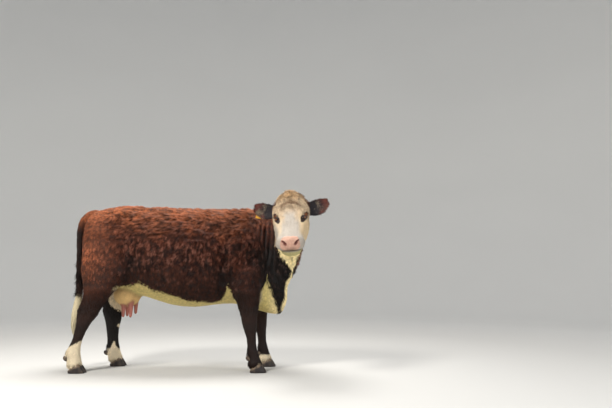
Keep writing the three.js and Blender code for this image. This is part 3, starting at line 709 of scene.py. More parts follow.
def nostril_value(on_head, side):
    """0 in the middle of a nostril, 1 at its rim and more beyond. It is a comma that runs out and up."""
    across = (on_head[:, Y] - side * NOSTRIL[Y]) * side
    up = on_head[:, Z] - NOSTRIL[Z] - NOSTRIL_TILT * across
    wide, high = NOSTRIL_TAIL["radii"]
    tail = ((across - NOSTRIL_TAIL["across"]) / wide) ** 2 + ((up - NOSTRIL_TAIL["up"]) / high) ** 2
    value = (across / NOSTRIL_RADII[0]) ** 2 + (up / NOSTRIL_RADII[1]) ** 2
    return np.where(on_head[:, X] > NOSTRIL_BACK, np.minimum(value, tail), FAR)


def with_nostril(on_head, side):
    value = nostril_value(on_head, side)
    inwards = unit(mirrored(NOSTRIL_INWARDS, side))
    depth = NOSTRIL_DEPTH * ramp(value, 1.15, 0.25) - NOSTRIL_RIM * peak(value, 1.9, 0.7)
    return on_head + inwards * depth[:, None]


def build_skin():
    points, tris = flesh()
    shares = part_shares(points, tris)
    of = of_parts(shares)
    strength = 0.6 * (of["trunk"] + of["neck"]) + 0.3 * (of["fore_leg"] + of["hind_leg"] + of["udder"])
    strength = strength + 0.15 * (of["head"] + of["tail"]) + 0.06 * of["ear"]
    points = relaxed(points, tris, strength, 22)
    packed = np.concatenate([points, shares], 1)
    for _ in range(3):
        packed, tris = refined(packed, tris, wanted_edge)
    points, shares = packed[:, :3], packed[:, 3:]
    of = of_parts(shares)
    points = relaxed(points, tris, 0.5 * (of["head"] + of["ear"]), 6)
    points = points - normals_of(points, tris) * coat_depth(points, of)[:, None]
    points = relaxed(points, tris, 0.4 * (1 - of["ear"] - of["teat"]), 3)
    points = modelled(points, tris, of)
    points = modelled_face(points, tris, of)
    return {"points": points, "tris": tris, "normals": normals_of(points, tris), "shares": shares}


# ---- Markings ----

SOFT = 0.004  # half the width of an edge between white and brown
THROAT_TOP = (1.10, 1.05)  # heights over which the white of the throat ends
GROIN = {"half": 0.108, "soft": 0.006, "front": -0.42}  # the white between her hind legs
GROIN_HIGH = ((0.535, 0.550), (0.72, 0.68))
SOCK_EDGES = {  # height of each hind sock's edge, where it starts to rise forwards and how steeply
    "near": (0.207, -0.84, 0.48), "far": (0.143, -0.66, 0.15),
}
SOCK_RUN, SOCK_SOFT = 0.10, 0.003  # how far an edge rises for, and half its width
FAR_POINT = {"height": 0.058, "middle": -0.615, "width": 0.018}  # of the far sock, up the front
HOCK_SPOTS = ((-0.682, -0.195, 0.362), (-0.582, 0.180, 0.338))  # a white spot before each hock
SPOT_EDGE = (0.013, 0.009)
TOES = {"near": 0.070, "far": 0.100, "near_front": (0.640, 0.655)}  # white over the fore hooves


def thigh_white(points, ragged):
    """The white between her hind legs and inside the far thigh."""
    x, y, z = points.T
    groin = edge(GROIN["half"] + ragged - np.abs(y), GROIN["soft"]) * between(z, *GROIN_HIGH)
    far = edge(x - np.interp(z, *THIGH_EDGE.T) + ragged, SOFT) * between(z, (0.460, 0.468), (0.64, 0.61))
    return np.maximum(groin, far * between(y, (0.03, 0.06), (0.205, 0.190)) * ramp(x, -0.46, -0.50))


def sock_white(points, ragged):
    x, y, z = points.T
    near, far = (low + np.clip(x - start, 0, SOCK_RUN) * rise for low, start, rise in SOCK_EDGES.values())
    far = far + FAR_POINT["height"] * peak(x, FAR_POINT["middle"], FAR_POINT["width"])
    white = edge(np.where(y < 0, near, far) + ragged - z, SOCK_SOFT)
    for spot in HOCK_SPOTS:
        white = np.maximum(white, ramp(np.linalg.norm(points - spot, axis=1) + ragged, *SPOT_EDGE))
    return white


def white_share(points, of):
    """1 where the body and legs are white and 0 where they are brown."""
    x, y, z = points.T
    ragged = 0.007 * noise(points, 0.018, 3) + 0.010 * noise(points, 0.060, 4)
    belly = edge(np.interp(x, *WHITE_EDGE.T) + ragged - z, SOFT)
    near = edge(x - np.interp(z, *BREAST_EDGE.T) - ragged, SOFT)
    far = edge(np.interp(z, *FAR_BREAST_EDGE.T) + ragged - x, SOFT)
    left = edge(np.interp(z, *LEFT_EDGE.T) + ragged - y, SOFT)
    thigh = thigh_white(points, ragged)
    torso = np.maximum(belly, near * far * left * ramp(z, *THROAT_TOP))
    torso = np.maximum(torso, thigh * (x < GROIN["front"])) * (of["trunk"] + of["neck"])
    toe = edge(np.where(y < 0, TOES["near"], TOES["far"]) + 0.4 * ragged - z, SOCK_SOFT)
    toe = toe * np.where(y < 0, ramp(x, *TOES["near_front"]), 1)
    legs = of["hind_leg"] * np.maximum(sock_white(points, ragged), thigh) + of["fore_leg"] * toe
    return np.clip(torso + legs, 0, 1)


SIDE_SPAN, BACK_HIGH = (Z, 0.66, 1.06), (1.04, 1.30)  # the heights over which each brown comes in: partly the coat's own red and dark brown, partly painted light on the back and painted shade low down
# The neck is painted darker towards its front and below its crest, as painted shade.
NECK_TONE, NECK_SPANS = 0.85, ((X, 0.42, 0.72), (Z, 1.36, 1.16))
# The lower neck and brisket before the shoulder are painted nearly black, as painted shade.
THROAT_SPANS = ((X, 0.50, 0.72), (Z, 1.12, 0.92), (X, 0.96, 0.93))
BEHIND_HEAD, BEHIND_REACH = (0.02, 0, -0.06), (0.26, 0.16)  # where the painted shadow of the head falls on the neck behind it, in the head's axes
THIGH_TONE = ((-0.72, 0.22, 0.98), (0.24, 0.4, 0.36))  # centre and radius
SHADOWS = [  # centre, radius and strength of the dark places on both sides
    ((-0.40, 0.30, 0.83), (0.16, 0.3, 0.20), 0.55),  # flank
    ((0.38, 0.30, 0.70), (0.12, 0.3, 0.18), 0.40),  # behind the elbow
]
CREASE_SHADOW, FORE_SHADOW, FAR_LEG_SHADOW, DARKEST = 0.30, 0.30, 0.78, 0.86
HOCK_SPAN, KNEE_SPAN = (Z, 0.70, 0.50), (Z, 0.36, 0.12)


def body_colour(points, of):
    # Browns by height: partly the coat's own colour, partly painted light on the back and painted shade low
    # down.
    tint = mixed(COLOURS["low"], COLOURS["side"], within(points, SIDE_SPAN))
    tint = mixed(tint, COLOURS["back"], ramp(points[:, Z] + 0.07 * noise(points, 0.12, 31), *BACK_HIGH))
    # Painted shade on the neck.
    tint = mixed(tint, COLOURS["neck"], NECK_TONE * within(points, *NECK_SPANS))
    # The painted shadow of the head on the neck behind it.
    by_head = ramp(np.linalg.norm(into(points, HEAD) - BEHIND_HEAD, axis=1), *BEHIND_REACH)
    tint = mixed(tint, COLOURS["low"], 0.8 * by_head)
    # Painted shade on the lower neck and brisket.
    tint = mixed(tint, COLOURS["throat"], within(points, *THROAT_SPANS))
    both = np.where([False, True, False], np.abs(points), points)
    tint = mixed(tint, COLOURS["thigh"], hill(both, *THIGH_TONE))
    tint = mixed(tint, COLOURS["leg"], of["fore_leg"] + of["hind_leg"] * within(points, HOCK_SPAN))
    dark = sum(strength * hill(both, centre, radius) for centre, radius, strength in SHADOWS)
    dark = dark + CREASE_SHADOW * crease(points) * (of["trunk"] + of["neck"])
    dark = dark + FORE_SHADOW * of["fore_leg"] * within(points, KNEE_SPAN)
    dark = dark + FAR_LEG_SHADOW * of["hind_leg"] * (points[:, Y] > 0)
    folds, _ = neck_folds(points, of)
    # Random tone, plus the neck's folds painted lighter on their ridges and darker between them: painted
    # highlight and shade.
    patchy = 1 + 0.32 * noise(points, (0.12, 0.12, 0.07), 32) + 0.16 * noise(points, 0.03, 33)
    patchy = patchy * np.clip(1 + 1.9 * folds, 0.12, 2)
    return tint * (patchy * (1 - np.clip(dark, 0, DARKEST)))[:, None]


BEHIND_PATCH = -0.065  # how far behind an eye its dark patch reaches
EYE_WARM = {"middle": (-0.026, 0.004), "radii": (0.032, 0.015)}  # warm brown hair in the patch with painted light on it, along and up
STREAK_STARTS = (-0.030, 0.020, -0.012)  # from the eye, of the dark line that runs to the ear
STREAK_ENDS = (0.020, 0.020, 0.010)  # from the ear's root
CREST_LINE = {"back": 0.108, "middle": 0.012, "curve": 0.9, "width": 0.014}  # the painted shadow under the arch of the crown's hair
STREAK_SPANS = ((X, 0.08, 0.13), (X, 0.27, 0.19))
# The face's cream is painted tan on its shaded side, as painted shade.
CHEEK_TONE, CHEEK_SPANS = 0.85, ((X, 0.20, 0.26), (X, 0.47, 0.38))
# The chin's underside is painted olive: painted shade with a yellow-green painted reflection.
CHIN_SPANS = ((Z, -0.10, -0.13), (X, 0.36, 0.44))
# The painted shadow along the slit of the mouth: its width, and where it runs.
MOUTH_LINE, MOUTH_LINE_SPAN = 0.0085, (X, 0.40, 0.44)


def head_white(on_head):
    """1 on the white of the head and 0 behind it."""
    x, _, z = on_head.T
    start = -0.045 + 0.115 * ramp(z, 0.045, -0.020)
    start = start + 0.006 * noise(on_head, 0.015, 41) + 0.010 * noise(on_head, 0.05, 42)
    white = edge(x - start, 0.005)
    for side in SIDES.values():
        white = white * ramp(np.linalg.norm(on_head - mirrored(EAR_ROOT, side), axis=1), 0.046, 0.056)
    return white


def patch_value(along, up):
    """Under 1 in the dark patch round an eye, by the distances along and across the lids."""
    return np.abs((along + 0.002) / PATCH_HALF[0]) ** 2.2 + np.abs((up - 0.005) / PATCH_HALF[1]) ** 2


def with_eye_patch(tint, on_head, side):
    """The dark patch round an eye, dark skin with painted shade in the socket, its warm middle with painted
    light, the streak to the ear and the lids' rims.
    """
    seen, value = lid_place(on_head, side)
    along, up, out = seen.T
    near, ragged = out > BEHIND_PATCH, 0.16 * noise(on_head, 0.010, 54)
    # Dark skin round the eye, with painted shade in the socket.
    tint = mixed(tint, COLOURS["eye_patch"], near * ramp(patch_value(along, up) + ragged, 1.12, 0.80))
    # Warm brown hair with painted light on it.
    warm = hill(np.stack([along, up], 1), EYE_WARM["middle"], EYE_WARM["radii"])
    tint = mixed(tint, COLOURS["eye_warm"], near * warm)
    streak = line_gap(on_head, mirrored(EYE + STREAK_STARTS, side), mirrored(EAR_ROOT + STREAK_ENDS, side))
    streak = ramp(streak + 0.004 * noise(on_head, 0.01, 57), 0.011, 0.006)
    tint = mixed(tint, COLOURS["eye_patch"], 0.8 * streak)
    return mixed(tint, COLOURS["lid"], ramp(value + ragged, 3.0, 2.0))


def forehead_colour(on_head):
    """The tan of her crown, the painted shadow under the arch of its hair, and streaks of brown hair and
    painted shade below it.
    """
    x, y, _ = on_head.T
    crown = mottled(COLOURS["crown"], 0.22, on_head, 0.025, 51)
    tint = mixed(crown, COLOURS["forehead"], ramp(x + 0.03 * noise(on_head, 0.04, 52), 0.02, 0.10))
    # The painted shadow under the overhanging arch of the crown's hair.
    arch = CREST_LINE["back"] + CREST_LINE["curve"] * np.abs(y - CREST_LINE["middle"]) ** 1.5
    line = peak(x, arch + 0.010 * noise(on_head, 0.03, 59), CREST_LINE["width"])
    tint = mixed(tint, COLOURS["crest"], 0.8 * line * ramp(np.abs(y), 0.085, 0.045))
    # Darker streaks: partly brown hair, partly painted shade between the curls.
    streaks = ramp(noise(on_head * [0.3, 1, 1], 0.016, 60), 0.05, 0.45)
    streaks = streaks * within(on_head, *STREAK_SPANS) * ramp(np.abs(y), 0.085, 0.055)
    return mixed(tint, COLOURS["crest"], 0.28 * streaks)


def face_colour(on_head):
    """The colours of the face, its crown and its bare skin, in the head's axes, with their painted light
    and shade.
    """
    x, y, z = on_head.T
    tint = forehead_colour(on_head)
    blaze = ramp(np.abs(y) + 0.012 * noise(on_head, 0.025, 56), 0.060, 0.025)
    bright = np.maximum(ramp(x, 0.15, 0.25) * blaze, ramp(x + 0.02 * noise(on_head, 0.04, 53), 0.22, 0.34))
    tint = mixed(tint, COLOURS["face"], bright)
    # Painted shade: tan on the face's shaded side.
    tan = ramp(y, 0.050, 0.088) + 0.5 * ramp(-y, 0.050, 0.075) * ramp(z, -0.055, -0.025)
    tint = mixed(tint, COLOURS["cheek"], CHEEK_TONE * tan * within(on_head, *CHEEK_SPANS))
    # Painted shade and painted reflection under the chin.
    tint = mixed(tint, COLOURS["chin"], within(on_head, *CHIN_SPANS))
    for side in SIDES.values():
        tint = with_eye_patch(tint, on_head, side)
    nose = mottled(COLOURS["nose"], 0.10, on_head, 0.012, 55)
    # The bare nose is painted lighter towards its top, as a painted highlight.
    nose = nose * (1 + 0.25 * ramp(z, -0.035, -0.012) + 0.15 * noise(on_head, 0.005, 58))[:, None]
    # Painted shade at the foot of the bare nose, towards the mouth.
    nose = mixed(nose, COLOURS["mouth"], 0.6 * ramp(z, -0.058, -0.088) * ramp(np.abs(y), 0.055, 0.015))
    tint = mixed(tint, nose, pad_share(on_head))
    for side in SIDES.values():
        # Painted shade in the nostrils.
        tint = mixed(tint, COLOURS["nostril"], 0.9 * ramp(nostril_value(on_head, side), 1.6, 0.9))
    # The painted shadow along the mouth.
    line = peak(over_mouth(on_head), 0, MOUTH_LINE) * within(on_head, MOUTH_LINE_SPAN)
    return mixed(tint, COLOURS["mouth"], line)


def ear_colour(points, normals):
    on_ear, axes = own_ear(points)
    x, y, _ = on_ear.T
    rim = ramp(x + np.abs(y) * 0.7 + 0.02 * noise(on_ear, 0.03, 61), 0.13, 0.20)
    outer = mixed(COLOURS["neck"], COLOURS["ear_rim"], rim)
    inner = mixed(COLOURS["ear"], COLOURS["ear_rim"], 0.8 * rim)
    return mixed(outer, inner, ramp(dot(normals, axes[:, Z]), -0.1, 0.3))


def markings(points, normals, shares):
    """The colour of skin and coat at each point, with its painted light and shade."""
    of = of_parts(shares)
    on_head = into(points, HEAD)
    # The cream is darker and yellower under the belly than on the breast: painted shade with a yellow-green
    # painted reflection.
    cream = mixed(COLOURS["belly"], COLOURS["breast"], ramp(points[:, X], 0.70, 0.82))
    cream = mixed(cream, COLOURS["sock"], np.clip(of["fore_leg"] + of["hind_leg"], 0, 1))
    tint = mixed(body_colour(points, of), mottled(cream, 0.06, points, 0.03, 71), white_share(points, of))
    headed = of["head"] + of["neck"] * ramp(np.linalg.norm(on_head, axis=1), 0.34, 0.30)
    tint = mixed(tint, face_colour(on_head), headed * head_white(on_head))
    tint = mixed(tint, ear_colour(points, normals), ramp(of["ear"], 0.3, 0.6))
    tint = mixed(tint, COLOURS["tail"], of["tail"] * ramp(points[:, Z], 1.26, 1.12))
    # The udder's own pinkish cream, painted darker and yellower as shade.
    tint = mixed(tint, mottled(COLOURS["udder"], 0.08, points, 0.03, 72), of["udder"])
    return mixed(tint, mottled(COLOURS["teat"], 0.1, points, 0.02, 73), of["teat"])


# ---- The lie of the coat ----

WHORL = (0.200, 0.0, 0.030)  # on the forehead, in the head's axes
LEG_LIE = (-0.12, 0, -1.0)
JAW_LIE = (-0.4, 0, -1.0)


def lie_of(points, normals, shares):
    """Which way the hair lies at each point."""
    of = of_parts(shares)
    x, _, z = points.T
    rows = np.ones(len(points))
    down = ramp(z, 1.30, 1.02)
    rump = ramp(x, -0.62, -0.74)
    trunk = np.stack([-1 + 0.55 * down + 0.5 * rump, 0 * rows, -0.15 - 0.85 * down - 0.8 * rump], 1)
    trunk[z < 0.62, Z] *= 0.5
    _, folded = neck_folds(points, of)
    away = unit((points - np.array(POLL)) * [1, 1, 0])
    neck = away * (0.7 - 0.65 * folded)[:, None] + np.array([0, 0, -0.9])
    on_head = into(points, HEAD)
    jaw = ramp(on_head[:, Z], -0.06, -0.14)
    head = (unit(on_head - WHORL) + np.array(JAW_LIE) * jaw[:, None]) @ HEAD[:3, :3].T
    tail = np.stack([-0.7 * ramp(z, 1.18, 1.26), 0 * rows, -rows], 1)
    total = trunk * (of["trunk"] + of["udder"] + of["teat"])[:, None] + neck * of["neck"][:, None]
    total = total + LEG_LIE * (of["fore_leg"] + of["hind_leg"])[:, None] + head * of["head"][:, None]
    total = total + own_ear(points)[1][:, X] * of["ear"][:, None] + tail * of["tail"][:, None]
    flat = unit(total - normals * dot(total, normals)[:, None])
    swirl = 0.35 * noise(points, 0.10, 81) + 0.28 * noise(points, 0.035, 82)
    return spun(flat, normals, swirl * (1 - 0.7 * folded))


def spun(vectors, normals, angle):
    """Vectors turned about their normals."""
    return vectors * np.cos(angle)[:, None] + np.cross(normals, vectors) * np.sin(angle)[:, None]


# ---- Tufts ----


def plant(skin, density, rng):
    """Roots scattered over the skin, so many to the square metre."""
    tris = skin["tris"]
    a, b, c = (skin["points"][tris[:, k]] for k in range(3))
    area = np.linalg.norm(np.cross(b - a, c - a), axis=1) / 2
    ends = np.cumsum(area * density[tris].mean(1))
    count = int(ends[-1])
    spots = np.arange(count) + rng.random(count)
    which = tris[np.minimum(np.searchsorted(ends, spots), len(tris) - 1)]
    r, s = np.sqrt(rng.random(count)), rng.random(count)
    weights = np.stack([1 - r, r * (1 - s), r * s], 1)[..., None]
    root, normal, shares = ((skin[key][which] * weights).sum(1) for key in ("points", "normals", "shares"))
    return {"root": root, "normal": unit(normal), "shares": shares}


LOCK_MIDDLE, LOCK_RIM, LOCK_VARIES = 0.34, 0.95, 0.5  # painted highlight in a lock's middle and painted shade at its rim, and how much lighter or darker at random from lock to lock
LOCK_SHADES = (0.22, 2.4)  # the darkest and the lightest
# A painted highlight: the lightest tufts are mixed towards a pale pinkish brown.
LOCK_GLOSS, GLOSSY_SHADES = 0.12, (1.15, 2.2)


def clumped(tufts, size, seed, pull, contrast=1.0):
    """Draws tufts together into locks. A lock stands highest in its middle and is painted darker at its
    edge, as shade in the partings, and its lightest tufts get a painted highlight.
    """
    centre, gap, luck = locks(tufts["root"], size, seed)
    towards = centre - tufts["root"]
    towards = towards - tufts["normal"] * dot(towards, tufts["normal"])[:, None]
    rim = np.clip(gap / 0.75, 0, 1)
    tufts["towards"] = towards * pull
    tufts["height"] = tufts["height"] * (1.15 - 0.75 * rim ** 2) * (0.75 + 0.5 * luck[:, 0])
    # Painted highlight in the lock's middle, painted shade at its rim, and random tone.
    shade = LOCK_MIDDLE - LOCK_RIM * rim ** 2 + LOCK_VARIES * (luck[:, 1] - 0.5)
    shade = shade + 0.20 * noise(tufts["root"], 0.06, seed + 50)
    shade = np.clip(1 + contrast * shade, *LOCK_SHADES)
    gloss = LOCK_GLOSS * ramp(shade, *GLOSSY_SHADES)
    tufts["tint"] = mixed(tufts["tint"] * shade[:, None], COLOURS["gloss"], gloss)
    tufts["bend"] = tufts["bend"] + 0.5 * (luck[:, 2] - 0.5)
    return tufts


STRIP_PLACES = np.array([1.0, 0.0, -1.0])  # across a strip
STRIP_FOLD = np.array([-0.35, 0.35, -0.35])  # how high each place stands, for half a width


def strip_tris(count, rings):
    """The triangles of so many strips, each of rings of three points and a tip."""
    strip = []
    for a in range(0, 3 * rings - 3, 3):
        m, b = a + 1, a + 2
        strip += [(b, b + 3, m + 3), (b, m + 3, m), (m, m + 3, a + 3), (m, a + 3, a)]
    a, m, b, tip = range(3 * rings - 3, 3 * rings + 1)
    strip += [(b, tip, m), (m, tip, a)]
    return (np.array(strip)[None] + (np.arange(count) * (tip + 1))[:, None, None]).reshape(-1, 3)


def strip_mesh(name, path, across, up, half, tint, luck, uv):
    """One piece of coat: strips along paths, each folded along its middle and narrowing to a point. The
    last point of a path is its strip's tip. uv is each strip's place on the piece's map."""
    count, rings = len(path), path.shape[1] - 1
    body = path[:, :rings, None] + (across * half)[:, :rings, None] * STRIP_PLACES[:, None]
    body = body + (up * half)[:, :rings, None] * STRIP_FOLD[:, None]
    points = np.concatenate([body.reshape(count, rings * 3, 3), path[:, rings:]], 1)
    tris = strip_tris(count, rings)
    ring_of = np.append(np.repeat(np.arange(rings), 3), rings)
    along = ring_of / rings
    sideways = np.append(np.tile(STRIP_PLACES, rings), 0.0)
    strand = np.stack(np.broadcast_arrays(sideways[None], along[None], luck[:, None]), -1)
    piece = mesh_object(name, points.reshape(-1, 3), tris, tint=tint[:, ring_of].reshape(-1, 3),
                        strand=strand.reshape(-1, 3))
    spot = uv[:, None] + PATCH * np.stack([sideways * 0.5, along - 0.5], 1)[None]
    layer = piece.data.uv_layers.new(name="OFBake")
    layer.data.foreach_set("uv", spot.reshape(-1, 2)[tris.ravel()].astype(np.float32).ravel())
    return piece


def tuft_mesh(name, tufts, rings, uv):
    """One piece of coat from tufts that bend along the skin and rise from it."""
    share = np.append(np.arange(rings) / rings, 1.0)[None, :, None]
    root, normal, lie, towards, tint = (
        tufts[key][:, None] for key in ("root", "normal", "lie", "towards", "tint"))
    length, width, height, roll, bend, base = (
        tufts[key][:, None, None] for key in ("length", "width", "height", "roll", "bend", "base"))
    bend = np.where(np.abs(bend) < 1e-3, 1e-3, bend)
    aside = np.cross(normal, lie)
    path = root + length * (np.sin(bend * share) * lie + (1 - np.cos(bend * share)) * aside) / bend
    path = path + normal * (height * share ** 1.3 - ROOT_DEPTH) + towards * share ** 1.4
    flat = np.cos(bend * share) * aside - np.sin(bend * share) * lie
    across = flat * np.cos(roll) + normal * np.sin(roll)
    up = normal * np.cos(roll) - flat * np.sin(roll)
    half = width / 2 * (0.72 + 0.28 * np.sin(np.pi * np.minimum(share * 1.5, 1))) * (1 - share ** 3)
    # Painted shade at the root, rising to painted light at the tip.
    tint = tint * (base + (TIP_SHADE - base) * share)
    return strip_mesh(name, path, across, up, half, tint, tufts["luck"], uv)


LEG_APART = 0.18  # how far a leg's middle line is to her side
AXES = {  # a point on each part's middle line and the way that line runs, for its unwrap
    "trunk": ((0, 0, 0.92), (1, 0, 0)),
    "neck": ((0.60, -0.02, 0.95), (0.62, -0.75, 0.22)),
    "head": (out_of(np.array([0, 0, -0.08]), HEAD), HEAD[:3, 0]),
    "fore_leg": ((0.60, 0, 0.3), (0, 0, 1)),
    "hind_leg": ((-0.70, 0, 0.3), (0, 0, 1)),
    "tail": ((-0.868, 0, 0.8), (0, 0, 1)),
}


def unwrapped_ear(points):
    """Each ear laid flat as two halves, its hollow and its back."""
    x, y, z = own_ear(points)[0].T
    half = np.where(z > -0.012, 0.25, 0.0) + np.where(on_right(points), 0.5, 0.0)
    return x / EAR_LENGTH, half + 0.25 * np.clip((y + 0.09) / 0.18, 0, 1)


def unwrapped_tube(points, part):
    """A part cut along one side. The two legs of a pair share the map."""
    middle, axis = (np.array(v, float) for v in AXES[part])
    axis = unit(axis)
    left = points[:, Y] > 0
    if part.endswith("leg"):
        middle = middle + LEG_APART * np.sign(points[:, Y])[:, None] * [0, 1, 0]
    out = unit(np.cross(axis, [0.3, 1.0, 0.1]))
    placed = points - middle
    along = placed @ axis
    turn = np.arctan2(placed @ np.cross(axis, out), placed @ out) / (2 * np.pi) + 0.5
    along = (along - along.min()) / max(np.ptp(along), 1e-6)
    return along, (turn + left) / 2 if part.endswith("leg") else turn


def unwrapped(points, part):
    """Each root's place on the skin of its part, cut along one side and laid flat, from 0 to 1."""
    flat = unwrapped_ear(points) if part == "ear" else unwrapped_tube(points, part)
    return on_map(np.stack(flat, 1))


def on_map(places):
    """Places from 0 to 1, far enough from the edge of the map for a tuft's patch."""
    return np.clip(places, 0, 1) * (1 - 2 * PATCH) + PATCH


def picked(tufts, mask):
    return {key: values[mask] for key, values in tufts.items()}


def together(groups):
    return {key: np.concatenate([group[key] for group in groups]) for key in groups[0]}


SIZES_VARY, TINTS_VARY = (0.75, 1.25), (0.86, 1.14)
ROLLS = 0.22  # radians by which tufts are rolled about their length


def dressed(tufts, rng, length, width, height, bend, stray=0.16):
    """Gives planted tufts their direction, sizes and colour. Height is how far a tip stands off."""
    root, normal, shares = tufts["root"], tufts["normal"], tufts["shares"]
    count = len(root)
    tufts["lie"] = spun(lie_of(root, normal, shares), normal, rng.normal(0, stray, count))
    tufts["length"] = length * rng.uniform(*SIZES_VARY, count)
    tufts["width"] = width * rng.uniform(*SIZES_VARY, count)
    tufts["height"] = height * np.ones(count)
    tufts["bend"] = rng.normal(0, 1, count) * bend
    tufts["roll"] = rng.normal(0, ROLLS, count)
    tufts["tint"] = markings(root, normal, shares) * rng.uniform(*TINTS_VARY, count)[:, None]
    # The painted shade at a tuft's root is lighter on pale hair.
    brightness = np.sqrt(tufts["tint"][:, 1])
    tufts["base"] = ROOT_SHADE + (PALE_ROOT_SHADE - ROOT_SHADE) * ramp(brightness, 0.35, 0.75)
    tufts["luck"] = rng.random(count)
    tufts["towards"] = np.zeros((count, 3))
    return tufts


COAT = {  # a tuft's sizes everywhere, and by how much each changes from place to place
    "body": {
        "length": {"all": 0.037, "low": -0.006, "neck": 0.004, "rear": -0.012, "ridge": -0.009},
        "height": {"all": 0.0120, "belly": -0.003, "rear": -0.004},
    },
    "leg": {
        "length": {"all": 0.013, "upper": 0.014, "fetlock": 0.022, "coronet": 0.014},
        "height": {"all": 0.0030, "upper": 0.006, "fetlock": 0.009, "coronet": 0.002},
        "width": {"all": 0.0032, "upper": 0.0016},
    },
    "face": {
        "length": {"all": 0.012, "jaw": 0.006, "muzzle": -0.004, "crown": 0.010},
        "height": {"all": 0.0030, "jaw": 0.0020, "muzzle": -0.0012, "crown": 0.004},
        "width": {"all": 0.0026, "muzzle": -0.0006, "crown": 0.001},
        "bend": {"all": 0.45, "crown": 0.5},
    },
    "crown": {
        "length": {"all": 0.028, "crest": 0.014, "low": -0.014},
        "height": {"all": 0.010, "crest": 0.008, "low": -0.0065},
        "width": {"all": 0.0036, "low": -0.001},
    },
    "ear": {"length": {"all": 0.013, "rim": 0.005}, "height": {"all": 0.003, "rim": 0.002}},
    "tail": {"length": {"all": 0.026, "fringe": 0.040}, "height": {"all": 0.005, "fringe": 0.004}},
}
LEVEL_LOCK, UPRIGHT_LOCK = (0.040, 0.030, 0.013), (0.015, 0.024, 0.046)  # sizes of a lock of the body
LEG_LOCK, TAIL_LOCK = (0.016, 0.016, 0.040), (0.02, 0.02, 0.07)
BODY_TUFT_WIDTH = 0.0050
FACE_LOCK, CROWN_LOCK, EAR_LOCK = 0.018, 0.026, 0.014
FETLOCK = {"height": 0.15, "reach": 0.06}
CURL_SPANS = ((X, -0.09, -0.05), (X, 0.30, 0.12), (Z, -0.07, -0.02))  # where the crown's curls grow


def sized(kind, **places):
    """The sizes of one kind of tuft, by how far each tuft is in each place."""
    places["all"] = 1
    return {size: sum(change * places[place] for place, change in changes.items())
            for size, changes in COAT[kind].items()}


def body_tufts(skin, rng):
    """Long woolly hair. It lies in level ridges on the back and in upright locks lower down."""
    of = of_parts(skin["shares"])
    bare = of["udder"] + of["teat"]
    tufts = plant(skin, DENSITY["body"] * np.clip(of["trunk"] + of["neck"] - 2 * bare, 0, 1), rng)
    root, of = tufts["root"], of_parts(tufts["shares"])
    x, _, z = root.T
    neck, rear, ridge = ramp(x, 0.45, 0.65), ramp(x, -0.42, -0.60), ramp(z, 1.20, 1.31)
    pale, wool, folded = white_share(root, of), woolly(root), neck_folds(root, of)[1]
    low, belly = ramp(z, 1.0, 0.75), ramp(z, 0.95, 0.75)
    sizes = sized("body", low=low, belly=belly, neck=neck, rear=rear, ridge=ridge)
    length = sizes["length"] * (1 - 0.35 * pale) * (1 - 0.50 * folded)
    height = sizes["height"] * (1 - 0.55 * pale) * (1 - 0.45 * ridge)
    height = height * (0.5 + 0.6 * wool) * (1 - 0.85 * folded)
    tufts = dressed(tufts, rng, length, BODY_TUFT_WIDTH * (1 - 0.30 * folded), height, 0.60)
    contrast = (1 - 0.8 * pale) * (0.2 + 1.95 * wool) * (1 + 0.5 * ramp(z, 1.10, 0.95))
    contrast = contrast * (1 - 0.9 * folded) * (1 - 0.6 * ramp(tufts["normal"][:, Z], 0.35, 0.80))
    top = back_height(root, 0.06) > 1.08
    level = clumped(picked(tufts, top), LEVEL_LOCK, 92, 0.50, 0.85 * contrast[top])
    return together([level, clumped(picked(tufts, ~top), UPRIGHT_LOCK, 93, 0.45, contrast[~top])])


def leg_tufts(skin, rng):
    of = of_parts(skin["shares"])
    tufts = plant(skin, DENSITY["leg"] * (of["fore_leg"] + of["hind_leg"]), rng)
    z = tufts["root"][:, Z]
    upper, coronet = ramp(z, 0.36, 0.62), ramp(z, 0.110, 0.075)
    fetlock = hill(z[:, None], FETLOCK["height"], FETLOCK["reach"]) * ramp(-tufts["normal"][:, X], 0.0, 0.7)
    sizes = sized("leg", upper=upper, fetlock=fetlock, coronet=coronet)
    return clumped(dressed(tufts, rng, **sizes, bend=0.35, stray=0.12), LEG_LOCK, 94, 0.35, 0.5)


def face_tufts(skin, rng):
    """Short hair that grows longer on the cheeks and jaw. None on the bare nose, lids and mouth."""
    on_head = into(skin["points"], HEAD)
    hairy = 1 - np.clip(pad_share(on_head) * 1.5, 0, 1)
    for side in SIDES.values():
        hairy = hairy * ramp(lid_place(on_head, side)[1], 3.0, 4.5)
        hairy = hairy * ramp(nostril_value(on_head, side), 1.6, 3.0)
    tufts = plant(skin, DENSITY["face"] * of_parts(skin["shares"])["head"] * hairy, rng)
    on_head = into(tufts["root"], HEAD)
    x, y, z = on_head.T
    jaw = ramp(z, -0.10, -0.20) + 0.5 * ramp(np.abs(y), 0.09, 0.13)
    muzzle = ramp(x, 0.30, 0.44)
    crown = ramp(x, 0.20, 0.06) * ramp(z, -0.08, 0.0)
    sizes = sized("face", jaw=jaw, muzzle=muzzle, crown=crown)
    for side in SIDES.values():
        along, up, out = lid_place(on_head, side)[0].T
        by_eye = (out > BEHIND_PATCH) * ramp(patch_value(along, up), 3.5, 1.5)
        sizes["length"] = sizes["length"] * (1 - 0.5 * by_eye)
    return clumped(dressed(tufts, rng, **sizes), FACE_LOCK, 95, 0.40, 0.25)


